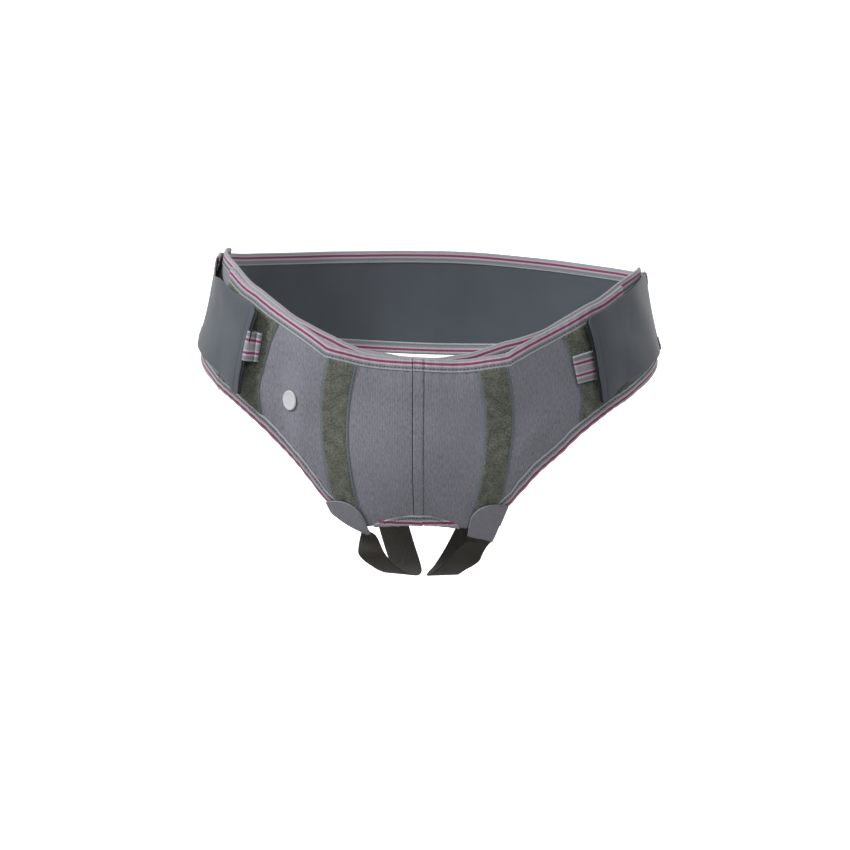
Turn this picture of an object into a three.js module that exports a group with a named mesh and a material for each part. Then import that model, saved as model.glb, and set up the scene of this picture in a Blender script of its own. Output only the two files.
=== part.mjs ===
// A hernia belt, shaped as it is worn on the hips, in millimetres.
// +Z is up, the front faces -Y and the wearer's left is +X. The origin is the middle of the
// waist opening, level with the top edge of the front at the centre seam.
// The front has two plies: a lining against the body and an outer panel of two halves, bound
// separately along the top, so that a flat pad slides in between, and bound together below.
// Wings on the ends of the back belt close over loop fields at the sides, and two straps run
// between the legs from tabs on the front to the back belt.
import * as THREE from "three";

// The hips that the belt is shaped on
const hipHalfWidth = 199;
const hipFrontDepth = 138;
const hipBackDepth = 142;
const crotchDrop = 190;
const groinDepth = 18;
const groinReach = 42;
const groinStartRun = 45;
const groinFullRun = 110;
const groinEndRun = 230;
const groinCurl = 1.3;
const bodyClearance = 0.4;

// The belt's edges, measured from the level of the front top edge
const sideRise = 87;
const sideHem = 4;
const frontDrop = 141;
const arcRise = 3.5;
const arcTaper = 0.7;
const topLean = 0.024;
const backRise = 95;
const backHem = 2;

// Lengths along the belt, measured from the centre seam
const cornerRun = 52;
const panelRun = 190;
const liningRun = 286;
const seamOffset = 4.7;
const stripOffset = 71;
const stripSweep = 9;
const fieldRun = 121;
const fieldSweep = 19;
const wingFrontRun = 143.5;
const wingFrontSlant = 13.5;
const wingRootRun = 262;
const discRun = 110;
const strapBackRun = 88;
const tabFootRun = 62.5;

// Widths of the tapes, straps and small parts
const ribbonWidth = 23;
const stripWidth = 25;
const strapWidth = 28;
const tabLength = 33;
const tabCornerLength = 22;
const tabLean = 0.25;
const tabOverhang = 7.5;
const tabFootDrop = frontDrop + tabOverhang;
const tabCurlRadius = 4;
const tabCurlStart = 1.5;
const pullLength = 20;
const pullTuck = 6;
const discDiameter = 17;
const discThickness = 1.5;
const discLevel = -37;

// Thicknesses and clearances
const liningThickness = 1.3;
const panelThickness = 1.6;
const loopThickness = 1.2;
const wingThickness = 1.8;
const backThickness = 1.8;
const strapThickness = 1.6;
const ribbonThickness = 0.9;
const plyGap = 0.4;
const bindingGap = 0.4;
const jointGap = 0.4;
const edgeMargin = 1.6;

// How far the cloth stands off
const mouthLift = 6;
const mouthRun = 74;
const mouthReach = 48;
const mouthDepth = 75;
const bindingLiftReach = 32;
const wingStandOff = 3.4;
const wingStandOffReach = 50;
const gapeLift = 6;
const gapeRun = 182;
const gapeReach = 52;
const gapeDepth = 36;
const openPullRadius = 4.2;
const openPullLean = 0.3;

// Facets: spacing along the belt, heights of the rows between the bindings as shares, and the
// steepest that an edge is taken to be when a binding is measured up it
const runStep = 12.5;
const middleRows = [0, 0.12, 0.28, 0.5, 0.75, 1];
const steepest = 1.8;

const bindingWidth = ribbonWidth / 2;
const bindingStack = bindingGap + ribbonThickness;
const liningOuter = bodyClearance + liningThickness;
const topLift = 2 * bindingStack;
const panelRest = liningOuter + plyGap;
const backOverLining = liningOuter + topLift + plyGap;
const backOnBody = bodyClearance + bindingStack;

// Shape of the hips: level as a share of crotchDrop, and each size as a share of its own name
const hipLevels = [
  { level: -1.05, width: 0.72, front: 0.36, back: 0.4 },
  { level: -0.9, width: 0.86, front: 0.6, back: 0.62 },
  { level: -0.75, width: 0.94, front: 0.785, back: 0.8 },
  { level: -0.5, width: 0.985, front: 0.93, back: 0.93 },
  { level: -0.2, width: 1.0, front: 0.985, back: 0.99 },
  { level: 0.02, width: 1.0, front: 1.0, back: 1.0 },
  { level: 0.15, width: 0.97, front: 0.995, back: 0.985 },
  { level: 0.3, width: 0.936, front: 0.98, back: 0.95 },
  { level: 0.58, width: 0.885, front: 0.94, back: 0.87 },
];
const hipSquareness = 2.3;
const referenceLevel = 0.02;

// Top edges of the two plies: run as a share of the quarter girth, heights as shares of sideRise
const topRows = [
  { run: 0, lining: 0.01, panel: 0 },
  { run: 0.06, lining: 0.016, panel: 0 },
  { run: 0.11, lining: 0.045, panel: 0.004 },
  { run: 0.16, lining: 0.076, panel: 0.02 },
  { run: 0.21, lining: 0.135, panel: 0.052 },
  { run: 0.265, lining: 0.2, panel: 0.09 },
  { run: 0.29, lining: 0.222, panel: 0.135 },
  { run: 0.33, lining: 0.262, panel: 0.208 },
  { run: 0.395, lining: 0.342, panel: 0.315 },
  { run: 0.46, lining: 0.456, panel: 0.422 },
  { run: 0.54, lining: 0.585, panel: 0.555 },
  { run: 0.59, lining: 0.65, panel: 0.62 },
  { run: 0.72, lining: 0.84, panel: 0.815 },
  { run: 0.86, lining: 0.955, panel: 0.93 },
  { run: 1, lining: 1, panel: 0.98 },
];

// Leg edge: run as above, fall as a share of the height from the side hem to the bottom corner
const hemRows = [
  { run: 0.19, fall: 1.0 },
  { run: 0.256, fall: 0.945 },
  { run: 0.314, fall: 0.86 },
  { run: 0.345, fall: 0.779 },
  { run: 0.391, fall: 0.66 },
  { run: 0.46, fall: 0.535 },
  { run: 0.512, fall: 0.441 },
  { run: 0.614, fall: 0.303 },
  { run: 0.676, fall: 0.241 },
  { run: 0.77, fall: 0.166 },
  { run: 0.855, fall: 0.097 },
  { run: 0.93, fall: 0.048 },
  { run: 1.02, fall: 0.01 },
  { run: 1.08, fall: 0 },
];

// Loop pieces: height as a share from foot to head, how far a strip's middle lies toward the
// centre, and how far the front edge of a field lies back, each as a share of its own sweep
const loopRows = [
  { height: 0, strip: 0.33, field: 1.0 },
  { height: 0.25, strip: 0.1, field: 1.0 },
  { height: 0.5, strip: 0, field: 0.72 },
  { height: 0.75, strip: 0.28, field: 0.42 },
  { height: 1, strip: 1, field: 0 },
];

// Edges of a wing: reach as a share from its front edge to its root, margins in the belt's own
// binding widths, below the lining's top edge and above the hem
const wingRows = [
  { reach: 0, below: 0.9, above: 1.72 },
  { reach: 0.2, below: 0.92, above: 1.62 },
  { reach: 0.45, below: 0.9, above: 1.5 },
  { reach: 0.7, below: 0.6, above: 1.35 },
  { reach: 1, below: 0.4, above: 1.1 },
];

// A leg strap from its tab to the back belt: across as a share of hipHalfWidth, along as a share
// of the depth of the front (below zero) or the back, drop as a share of crotchDrop, and the way
// that its outer face looks
const strapRows = [
  { across: 0.204, along: -0.68, drop: 0.885, face: [0.3, -0.62, -0.72] },
  { across: 0.135, along: -0.5, drop: 0.96, face: [0.2, -0.38, -0.9] },
  { across: 0.094, along: -0.25, drop: 0.995, face: [0.08, -0.16, -0.98] },
  { across: 0.084, along: 0, drop: 1.0, face: [0.03, 0, -1] },
  { across: 0.1, along: 0.25, drop: 0.98, face: [0.04, 0.25, -0.96] },
  { across: 0.14, along: 0.46, drop: 0.905, face: [0.08, 0.55, -0.82] },
  { across: 0.195, along: 0.66, drop: 0.775, face: [0.15, 0.75, -0.62] },
  { across: 0.26, along: 0.82, drop: 0.61, face: [0.2, 0.88, -0.4] },
  { across: 0.33, along: 0.92, drop: 0.43, face: [0.26, 0.94, -0.2] },
];

const clamp = THREE.MathUtils.clamp;
const mix = THREE.MathUtils.lerp;

// A smooth curve through one column of a table.
function curveOf(rows, at, value) {
  const last = rows.length - 1;
  const slopes = rows.map((row, i) => {
    const before = rows[Math.max(i - 1, 0)];
    const after = rows[Math.min(i + 1, last)];
    return (after[value] - before[value]) / (after[at] - before[at]);
  });
  return (x) => {
    const t = clamp(x, rows[0][at], rows[last][at]);
    let i = 0;
    while (i < last - 1 && t > rows[i + 1][at]) i += 1;
    const width = rows[i + 1][at] - rows[i][at];
    const u = (t - rows[i][at]) / width;
    const v = 1 - u;
    return (
      rows[i][value] * (1 + 2 * u) * v * v +
      rows[i + 1][value] * (3 - 2 * u) * u * u +
      width * u * v * (slopes[i] * v - slopes[i + 1] * u)
    );
  };
}

// 1 at zero, easing to 0 at one and staying there.
function fade(t) {
  const u = clamp(t, 0, 1);
  return (1 - u) * (1 - u) * (1 + 2 * u);
}

const widthShare = curveOf(hipLevels, "level", "width");
const frontShare = curveOf(hipLevels, "level", "front");
const backShare = curveOf(hipLevels, "level", "back");

// Radius of the hips' rounded outline at an angle from the front, on a level given as a share.
function hipRadius(angle, level) {
  const half = hipHalfWidth * widthShare(level);
  const ahead = Math.cos(angle) > 0;
  const deep = ahead ? hipFrontDepth * frontShare(level) : hipBackDepth * backShare(level);
  const side = Math.pow(Math.abs(Math.sin(angle)) / half, hipSquareness);
  const depth = Math.pow(Math.abs(Math.cos(angle)) / deep, hipSquareness);
  return Math.pow(side + depth, -1 / hipSquareness);
}

// Lengths round the reference outline, from the front to the back, at even angles.
const angleCount = 720;
const girthAt = [0];
for (let i = 1; i <= angleCount; i += 1) {
  const [a, b] = [((i - 1) * Math.PI) / angleCount, (i * Math.PI) / angleCount];
  const [ra, rb] = [hipRadius(a, referenceLevel), hipRadius(b, referenceLevel)];
  const dx = rb * Math.sin(b) - ra * Math.sin(a);
  const dy = rb * Math.cos(b) - ra * Math.cos(a);
  girthAt.push(girthAt[i - 1] + Math.hypot(dx, dy));
}
const quarterGirth = girthAt[angleCount / 2];
const halfGirth = girthAt[angleCount];

// The angle from the front that a length along the belt reaches.
function angleOf(run) {
  const length = Math.abs(run);
  let i = 1;
  while (i < angleCount && girthAt[i] < length) i += 1;
  const part = (length - girthAt[i - 1]) / (girthAt[i] - girthAt[i - 1]);
  return (Math.sign(run) * (i - 1 + part) * Math.PI) / angleCount;
}

const liningTopShare = curveOf(topRows, "run", "lining");
const panelTopShare = curveOf(topRows, "run", "panel");
const hemFall = curveOf(hemRows, "run", "fall");

// Heights of the edges at a length along the belt. The wearer's right side sits a little higher.
function lean(run) {
  return -topLean * hipHalfWidth * Math.sin(clamp(run / quarterGirth, -1, 1) * Math.PI / 2);
}
function liningTop(run) {
  return sideRise * liningTopShare(Math.abs(run) / quarterGirth) + lean(run);
}
function panelTop(run) {
  return sideRise * panelTopShare(Math.abs(run) / quarterGirth) + lean(run);
}
function legHem(run) {
  return sideHem - (sideHem + frontDrop) * hemFall(Math.abs(run) / quarterGirth);
}
function arcHem(run) {
  const share = Math.min(Math.abs(run) / cornerRun, 1);
  return arcRise * (1 - share * share) - frontDrop;
}
function frontHem(run) {
  return Math.abs(run) < cornerRun ? arcHem(run) : legHem(run);
}
const wingBelow = curveOf(wingRows, "reach", "below");
const wingAbove = curveOf(wingRows, "reach", "above");
function wingReach(run) {
  return clamp((Math.abs(run) - wingFrontRun) / (wingRootRun - wingFrontRun), 0, 1);
}
function wingTop(run) {
  return liningTop(run) - bindingWidth * wingBelow(wingReach(run));
}
function wingBottom(run) {
  return legHem(run) + bindingWidth * wingAbove(wingReach(run));
}
function towardBack(run) {
  return fade((halfGirth - Math.abs(run)) / (halfGirth - wingRootRun));
}
function backTop(run) {
  return mix(wingTop(Math.sign(run) * wingRootRun), backRise, towardBack(run));
}
function backBottom(run) {
  return mix(wingBottom(wingRootRun), backHem, towardBack(run));
}

// How far the groin draws the cloth in near the leg edge.
function groinPull(run, z) {
  const length = Math.abs(run);
  const from = fade((groinFullRun - length) / (groinFullRun - groinStartRun));
  const until = fade((length - groinFullRun) / (groinEndRun - groinFullRun));
  const near = clamp(1 - (z - legHem(run)) / groinReach, 0, groinCurl);
  return groinDepth * from * until * near * near;
}

// A point on the hips.
function hipPoint(run, z) {
  const angle = angleOf(run);
  const radius = hipRadius(angle, z / crotchDrop);
  return new THREE.Vector3(radius * Math.sin(angle), groinPull(run, z) - radius * Math.cos(angle), z);
}

// The outward normal of the hips.
const probe = 0.5;
function hipNormal(run, z) {
  const along = hipPoint(run + probe, z).sub(hipPoint(run - probe, z));
  const up = hipPoint(run, z + probe).sub(hipPoint(run, z - probe));
  return along.cross(up).normalize();
}

// A point a distance off the hips.
function offHip(run, z, off) {
  return hipPoint(run, z).addScaledVector(hipNormal(run, z), off);
}

// Distance from the hips to the inner face of the outer panel: it clears the lining's binding
// along the top, and stands open at the mouths of the pad pocket.
function panelInner(run, z) {
  const drop = panelTop(run) - z;
  const mouth = fade(Math.abs(Math.abs(run) - mouthRun) / mouthReach);
  const open = mouthLift * mouth * fade(drop / mouthDepth);
  return panelRest + topLift * fade((drop - bindingWidth) / bindingLiftReach) + open;
}
function panelOuter(run, z) {
  return panelInner(run, z) + panelThickness;
}
function loopOuter(run, z) {
  return panelOuter(run, z) + plyGap + loopThickness;
}

// Distance from the hips to the inner face of the back belt, which passes over the lining's
// ends and then lies on the body.
function backInner(run) {
  return mix(backOnBody, backOverLining, fade((Math.abs(run) - liningRun - plyGap) / mouthReach));
}

// Height that a distance into the cloth takes up, where an edge slopes.
function steepness(edge, run) {
  const slope = (edge(run + probe) - edge(run - probe)) / (2 * probe);
  return Math.min(Math.hypot(slope, 1), steepest);
}

// Heights of the rows of facets up a front ply. The plies share them, so that they nest: first
// and last come the edges of the bindings, and the loop pieces take the rows between.
function plyRows(run, bottom, top) {
  const low = bottom(run) + bindingWidth * steepness(bottom, run);
  const high = top(run) - bindingWidth * steepness(top, run);
  const middle = middleRows.map((share) => mix(low + edgeMargin, high - edgeMargin, share));
  return [bottom(run), low, ...middle, high, top(run)];
}

// Evenly spaced values, with no step over a size.
function steps(from, to, size) {
  const count = Math.max(1, Math.ceil(Math.abs(to - from) / size));
  return Array.from({ length: count + 1 }, (_, i) => mix(from, to, i / count));
}

// Evenly spaced shares of a length.
function shares(length, size) {
  return steps(0, 1, size / length);
}

// Lengths along the belt from one to another, on the grid that all plies share.
function runsBetween(from, to, extra = []) {
  const cuts = [from, to, ...extra];
  const first = Math.ceil((from + runStep / 4) / runStep);
  for (let i = first; i * runStep < to - runStep / 4; i += 1) cuts.push(i * runStep);
  return [...new Set(cuts)].sort((a, b) => a - b);
}

// A closed sheet on a grid: place(i, j, face) gives the corner of row i and column j, on face 0
// or face 1. Where flipped(i, j), a cell is split along its other diagonal.
function sheet(rowCount, columnCount, place, flipped = () => false) {
  const positions = [];
  const index = [];
  const faceSize = rowCount * columnCount;
  for (const face of [0, 1]) {
    for (let i = 0; i < rowCount; i += 1) {
      for (let j = 0; j < columnCount; j += 1) positions.push(...place(i, j, face).toArray());
    }
  }
  const quad = (a, b, c, d, turn) =>
    turn ? index.push(b, c, d, b, d, a) : index.push(a, b, c, a, c, d);
  const at = (i, j, face) => face * faceSize + i * columnCount + j;
  const [lastRow, lastColumn] = [rowCount - 1, columnCount - 1];
  for (let i = 0; i < lastRow; i += 1) {
    for (let j = 0; j < lastColumn; j += 1) {
      const turn = flipped(i, j);
      quad(at(i, j, 1), at(i + 1, j, 1), at(i + 1, j + 1, 1), at(i, j + 1, 1), turn);
      quad(at(i, j, 0), at(i, j + 1, 0), at(i + 1, j + 1, 0), at(i + 1, j, 0), turn);
    }
    for (const [j, near, far] of [[0, 0, 1], [lastColumn, 1, 0]]) {
      quad(at(i, j, near), at(i + 1, j, near), at(i + 1, j, far), at(i, j, far));
    }
  }
  for (let j = 0; j < lastColumn; j += 1) {
    for (const [i, near, far] of [[0, 1, 0], [lastRow, 0, 1]]) {
      quad(at(i, j, near), at(i, j + 1, near), at(i, j + 1, far), at(i, j, far));
    }
  }
  return facingOut(positions, index);
}

// The geometry, with its faces turned out.
function facingOut(positions, index) {
  const [a, b, c] = [0, 1, 2].map(() => new THREE.Vector3());
  let volume = 0;
  for (let i = 0; i < index.length; i += 3) {
    [a, b, c].forEach((v, k) => v.fromArray(positions, 3 * index[i + k]));
    volume += a.dot(b.clone().cross(c));
  }
  if (volume < 0) {
    for (let i = 0; i < index.length; i += 3) [index[i + 1], index[i + 2]] = [index[i + 2], index[i + 1]];
  }
  const geometry = new THREE.BufferGeometry();
  geometry.setAttribute("position", new THREE.Float32BufferAttribute(positions, 3));
  geometry.setIndex(index);
  geometry.computeVertexNormals();
  return geometry;
}

// Cloth on the hips between two edges, from one length to another.
function cloth(runs, bottom, top, inner, thickness) {
  const rowCount = plyRows(0, bottom, top).length;
  const place = (i, j, face) => {
    const z = plyRows(runs[i], bottom, top)[j];
    return offHip(runs[i], z, inner(runs[i], z) + face * thickness);
  };
  return sheet(runs.length, rowCount, place, (i) => runs[i] + runs[i + 1] < 0 && runs[i + 1] > runs[i]);
}

// Ribbon folded round an edge. inner and outer are the faces of the plies that it holds, and way
// is the sense from the edge into the cloth. width gives the share of its width that shows.
function binding(runs, edge, way, inner, outer, width = () => 1) {
  const section = [
    { into: [bindingWidth, bindingWidth], side: 1 },
    { into: [-bindingGap, -bindingStack], side: 1 },
    { into: [-bindingGap, -bindingStack], side: -1 },
    { into: [bindingWidth, bindingWidth], side: -1 },
  ];
  const place = (i, j, face) => {
    const run = runs[i];
    const { into, side } = section[j];
    const distance = into[face] > 0 ? into[face] * width(run) : into[face];
    const z = edge(run) + way * distance * steepness(edge, run);
    const stack = face ? bindingStack : bindingGap;
    const off = side > 0 ? outer(run, z) + stack : inner(run, z) - stack;
    return offHip(run, z, off);
  };
  const flipped = (i, j) => {
    const backwards = runs[i] + runs[i + 1] < 0 && runs[i + 1] > runs[i];
    return (section[j].side < 0) !== (way > 0) !== backwards;
  };
  return sheet(runs.length, section.length, place, flipped);
}

const fabricColour = 0x8a8993;
const liningColour = 0x9a9aa4;
const loopColour = 0x666a5e;
const slateColour = 0x5a5f66;
const strapColour = 0x3d3a36;
const ribbonColour = 0x9b9ba3;
const discColour = 0xe6e6e8;
const clothMaterial = (color) => new THREE.MeshStandardMaterial({ color, roughness: 0.9, metalness: 0 });
const materials = {
  fabric: clothMaterial(fabricColour),
  lining: clothMaterial(liningColour),
  loop: clothMaterial(loopColour),
  slate: clothMaterial(slateColour),
  strap: clothMaterial(strapColour),
  ribbon: clothMaterial(ribbonColour),
  disc: new THREE.MeshStandardMaterial({ color: discColour, roughness: 0.35, metalness: 0 }),
};

const belt = new THREE.Group();
function add(name, geometry, material) {
  const mesh = new THREE.Mesh(geometry, material);
  mesh.name = name;
  belt.add(mesh);
}

// The two sides, by the wearer: left is +X. The right tab curls back round the groin.
const sides = [
  { name: "left", way: 1, pullDrop: 7.5, tabCurl: 0.3 },
  { name: "right", way: -1, pullDrop: 1.5, tabCurl: 1.35 },
];
const mirrored = (runs, way) => runs.map((run) => run * way);

// Lining: the ply against the body, right across the front and under the wings
const constant = (value) => () => value;
const liningRuns = runsBetween(-liningRun, liningRun, [-cornerRun, cornerRun]);
add(
  "lining",
  cloth(liningRuns, frontHem, liningTop, constant(bodyClearance), liningThickness),
  materials.lining,
);
add(
  "lining_binding",
  binding(liningRuns, liningTop, -1, constant(bodyClearance), constant(liningOuter)),
  materials.ribbon,
);

// Outer panel: the left half laps past the centre to the seam line
for (const { name, way } of sides) {
  const start = way > 0 ? -seamOffset + jointGap / 2 : seamOffset + jointGap / 2;
  const runs = mirrored(runsBetween(start, panelRun, [cornerRun]), way);
  add(
    `front_panel_${name}`,
    cloth(runs, frontHem, panelTop, panelInner, panelThickness),
    materials.fabric,
  );
  add(
    `top_binding_${name}`,
    binding(runs, panelTop, -1, panelInner, panelOuter),
    materials.ribbon,
  );
}

// Bindings that hold both plies together, along the legs and round the arc at the bottom
const stackEnd = panelRun + bindingStack;
const stackRamp = stackEnd + bindingWidth / 2;
function stackOuter(run, z) {
  const beyond = (Math.abs(run) - stackEnd) / (stackRamp - stackEnd);
  return mix(panelOuter(run, z), liningOuter, clamp(beyond, 0, 1));
}
const legBindingStart = cornerRun + bindingWidth * 0.75;
const arcBindingEnd = cornerRun - bindingWidth * 0.6;
for (const { name, way } of sides) {
  const runs = mirrored(runsBetween(legBindingStart, liningRun, [stackEnd, stackRamp]), way);
  add(
    `leg_binding_${name}`,
    binding(runs, legHem, 1, constant(bodyClearance), stackOuter),
    materials.ribbon,
  );
}
const arcWidth = (run) => 1 - arcTaper * (run / arcBindingEnd) ** 2;
const arcRuns = runsBetween(-arcBindingEnd, arcBindingEnd);
add(
  "arc_binding",
  binding(arcRuns, arcHem, 1, constant(bodyClearance), panelOuter, arcWidth),
  materials.ribbon,
);

// Loop strips on the front and loop fields under the wings. They take the panel's own rows and
// columns of facets between their edges.
function loopPiece(way, columnCount, runAt) {
  return sheet(columnCount, middleRows.length, (i, j, face) => {
    const run = way * runAt(i, middleRows[j]);
    const z = plyRows(run, frontHem, panelTop)[j + 2];
    return offHip(run, z, panelOuter(run, z) + plyGap + face * loopThickness);
  });
}
const stripAt = curveOf(loopRows, "height", "strip");
const fieldAt = curveOf(loopRows, "height", "field");
const stripCuts = runsBetween(stripOffset - stripWidth / 2, stripOffset + stripWidth / 2);
const fieldCuts = runsBetween(fieldRun, panelRun - edgeMargin);

// The grid's columns between two edges, the outermost ones drawn in to the edges.
function cutsWithin(cuts, i, from, to) {
  const last = cuts.length - 1;
  if (i === 0) return from;
  return i === last ? to : clamp(cuts[i], from + i * edgeMargin, to - (last - i) * edgeMargin);
}
for (const { name, way } of sides) {
  const strip = loopPiece(way, stripCuts.length, (i, share) => {
    const middle = stripOffset - stripSweep * stripAt(share);
    return cutsWithin(stripCuts, i, middle - stripWidth / 2, middle + stripWidth / 2);
  });
  add(`loop_strip_${name}`, strip, materials.loop);
  const field = loopPiece(way, fieldCuts.length, (i, share) =>
    cutsWithin(fieldCuts, i, fieldRun + fieldSweep * fieldAt(share), panelRun - edgeMargin),
  );
  add(`loop_field_${name}`, field, materials.loop);
}

// Wings: they close over the loop fields and join the back belt behind the hip
function wingFront(height) {
  return wingFrontRun + wingFrontSlant * (1 - height);
}
function wingInner(run, z) {
  const length = Math.abs(run);
  const overLoops = loopOuter(Math.sign(run) * Math.min(length, panelRun), z) + 2 * plyGap;
  const behind = fade((length - panelRun - runStep) / (wingRootRun - panelRun - runStep));
  const standOff = wingStandOff * fade((length - wingFrontRun) / wingStandOffReach);
  const gapes = run < 0 ? gapeLift * fade(Math.abs(length - gapeRun) / gapeReach) : 0;
  const gape = gapes * fade((wingTop(run) - z) / gapeDepth);
  return mix(backOverLining, overLoops, behind) + standOff + gape;
}
const wingHeights = shares(sideRise, runStep * 1.3);
for (const { name, way } of sides) {
  const reaches = shares(wingRootRun - wingFrontRun, runStep);
  const wing = sheet(reaches.length, wingHeights.length, (i, j, face) => {
    const run = way * mix(wingFront(wingHeights[j]), wingRootRun - jointGap, reaches[i]);
    const z = mix(wingBottom(run), wingTop(run), wingHeights[j]);
    return offHip(run, z, wingInner(run, z) + face * wingThickness);
  });
  add(`wing_${name}`, wing, materials.slate);
}

// Pull loops: a doubled ribbon tucked under the front edge of each wing. The one on the wearer's
// right stands open.
const flatPullRadius = ribbonThickness / 2 + jointGap / 2;
const foldSteps = 6;
for (const { name, way, pullDrop } of sides) {
  const radius = way < 0 ? openPullRadius : flatPullRadius;
  const leanOut = way < 0 ? openPullLean : 0;
  const straight = pullLength - radius;
  const legs = [-pullTuck, 0, straight * 0.35, straight * 0.7];
  const spread = (x) => mix(flatPullRadius, radius, 1 - fade(x / straight));
  const path = [
    ...legs.map((x) => [x, -spread(x)]),
    ...steps(-Math.PI / 2, Math.PI / 2, Math.PI / foldSteps).map((a) => [
      straight + radius * Math.cos(a),
      radius * Math.sin(a),
    ]),
    ...legs.reverse().map((x) => [x, spread(x)]),
  ];
  const [head, foot] = [wingTop(way * wingFront(1)), wingBottom(way * wingFront(0))];
  const middle = (head + foot) / 2 - pullDrop;
  const slant = Math.atan2(wingFrontSlant, head - foot);
  const edgeRun = wingFront(0.5);
  const seat = jointGap + flatPullRadius + ribbonThickness / 2;
  const across = steps(-0.5, 0.5, 0.5);
  const pull = sheet(path.length, across.length, (i, j, face) => {
    const [before, after] = [path[Math.max(i - 1, 0)], path[Math.min(i + 1, path.length - 1)]];
    const [tx, ty] = [after[0] - before[0], after[1] - before[1]];
    const size = Math.hypot(tx, ty);
    const side = (face - 0.5) * ribbonThickness;
    const forward = path[i][0] + (side * ty) / size;
    const out = path[i][1] - (side * tx) / size;
    const up = across[j] * ribbonWidth;
    const run = edgeRun - forward * Math.cos(slant) - up * Math.sin(slant);
    const z = middle - forward * Math.sin(slant) + up * Math.cos(slant);
    const rise = leanOut * Math.max(forward, 0);
    return offHip(way * run, z, loopOuter(way * run, z) + seat + out + rise);
  });
  add(`pull_loop_${name}`, pull, materials.ribbon);
}

// Back belt and its bindings
const backEnds = [wingRootRun + jointGap / 2, 2 * halfGirth - wingRootRun - jointGap / 2];
const wrap = (run) => (run > halfGirth ? run - 2 * halfGirth : run);
const wrapped = (edge) => (run) => edge(wrap(run));
const backRuns = steps(backEnds[0], backEnds[1], runStep);
const backHeights = shares(backRise - backHem, runStep * 1.7);
const backCloth = sheet(backRuns.length, backHeights.length, (i, j, face) => {
  const run = wrap(backRuns[i]);
  const z = mix(backBottom(run), backTop(run), backHeights[j]);
  return offHip(run, z, backInner(run) + face * backThickness);
});
add("back_belt", backCloth, materials.slate);

// Ribbon folded round an edge of the back belt, which runs through the middle of the back.
function backBinding(edge, way) {
  const reach = (distance) => way * distance;
  const section = [
    { z: [bindingWidth, bindingWidth], side: 1 },
    { z: [-bindingGap, -bindingStack], side: 1 },
    { z: [-bindingGap, -bindingStack], side: -1 },
    { z: [bindingWidth, bindingWidth], side: -1 },
  ];
  return sheet(backRuns.length, section.length, (i, j, face) => {
    const run = wrap(backRuns[i]);
    const z = edge(run) + reach(section[j].z[face]);
    const stack = face ? bindingStack : bindingGap;
    const outer = section[j].side > 0;
    return offHip(run, z, outer ? backInner(run) + backThickness + stack : backInner(run) - stack);
  });
}
add("back_top_binding", backBinding(wrapped(backTop), -1), materials.ribbon);
add("back_hem_binding", backBinding(wrapped(backBottom), 1), materials.ribbon);

// Leg straps and their tabs. A tab lies on the panel's corner; the strap leaves its foot, passes
// between the legs and ends on the hem of the back belt.
const tabOff = (run, z) => loopOuter(run, z) + plyGap;
const strapBackOff = backOnBody + backThickness + bindingStack + plyGap + strapThickness / 2;
const strapEndLifts = [-34, 2, 20];
const strapStep = 13;
const strapBlend = 30;
function tabPoint({ way, tabCurl }, distance, across, face) {
  const beforeFoot = tabLength - distance;
  const [dRun, dz] = [Math.sin(tabLean), Math.cos(tabLean)];
  const run = way * (tabFootRun + beforeFoot * dRun + across * dz);
  const flatZ = beforeFoot * dz - across * dRun - tabFootDrop;
  const steep = steepness(legHem, run);
  const past = (legHem(run) - flatZ) / steep - tabCurlStart;
  const turn = clamp(past / tabCurlRadius, 0, tabCurl);
  const straight = past - tabCurlRadius * turn;
  const [sin, cos] = [Math.sin(turn), Math.cos(turn)];
  const thick = face * strapThickness;
  const reach = tabCurlStart + (tabCurlRadius + thick) * sin + straight * cos;
  const depth = tabCurlRadius - (tabCurlRadius + thick) * cos + straight * sin;
  const z = legHem(run) - reach * steep;
  return offHip(run, z, tabOff(run, z) - depth);
}
function strapPath(side) {
  const { way } = side;
  const tabEnd = [tabLength - strapStep, tabLength];
  const points = tabEnd.map((distance) => tabPoint(side, distance, 0, 0.5));
  const faces = tabEnd.map((distance) =>
    tabPoint(side, distance, 0, 1).sub(tabPoint(side, distance, 0, 0)).normalize(),
  );
  for (const { across, along, drop, face } of strapRows) {
    const depth = along < 0 ? hipFrontDepth : hipBackDepth;
    points.push(new THREE.Vector3(way * across * hipHalfWidth, along * depth, -drop * crotchDrop));
    faces.push(new THREE.Vector3(way * face[0], face[1], face[2]).normalize());
  }
  const backRun = way * (halfGirth - strapBackRun);
  for (const lift of strapEndLifts) {
    const z = backBottom(backRun) + lift;
    points.push(offHip(backRun, z, strapBackOff));
    faces.push(hipNormal(backRun, z));
  }
  return {
    line: new THREE.CatmullRomCurve3(points, false, "centripetal"),
    facing: new THREE.CatmullRomCurve3(faces, false, "catmullrom"),
  };
}
const tabRows = steps(0, tabLength, tabLength / 8);
const tabColumns = steps(-0.5, 0.5, 0.125);
const strapColumns = steps(-0.5, 0.5, 0.25);
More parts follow.
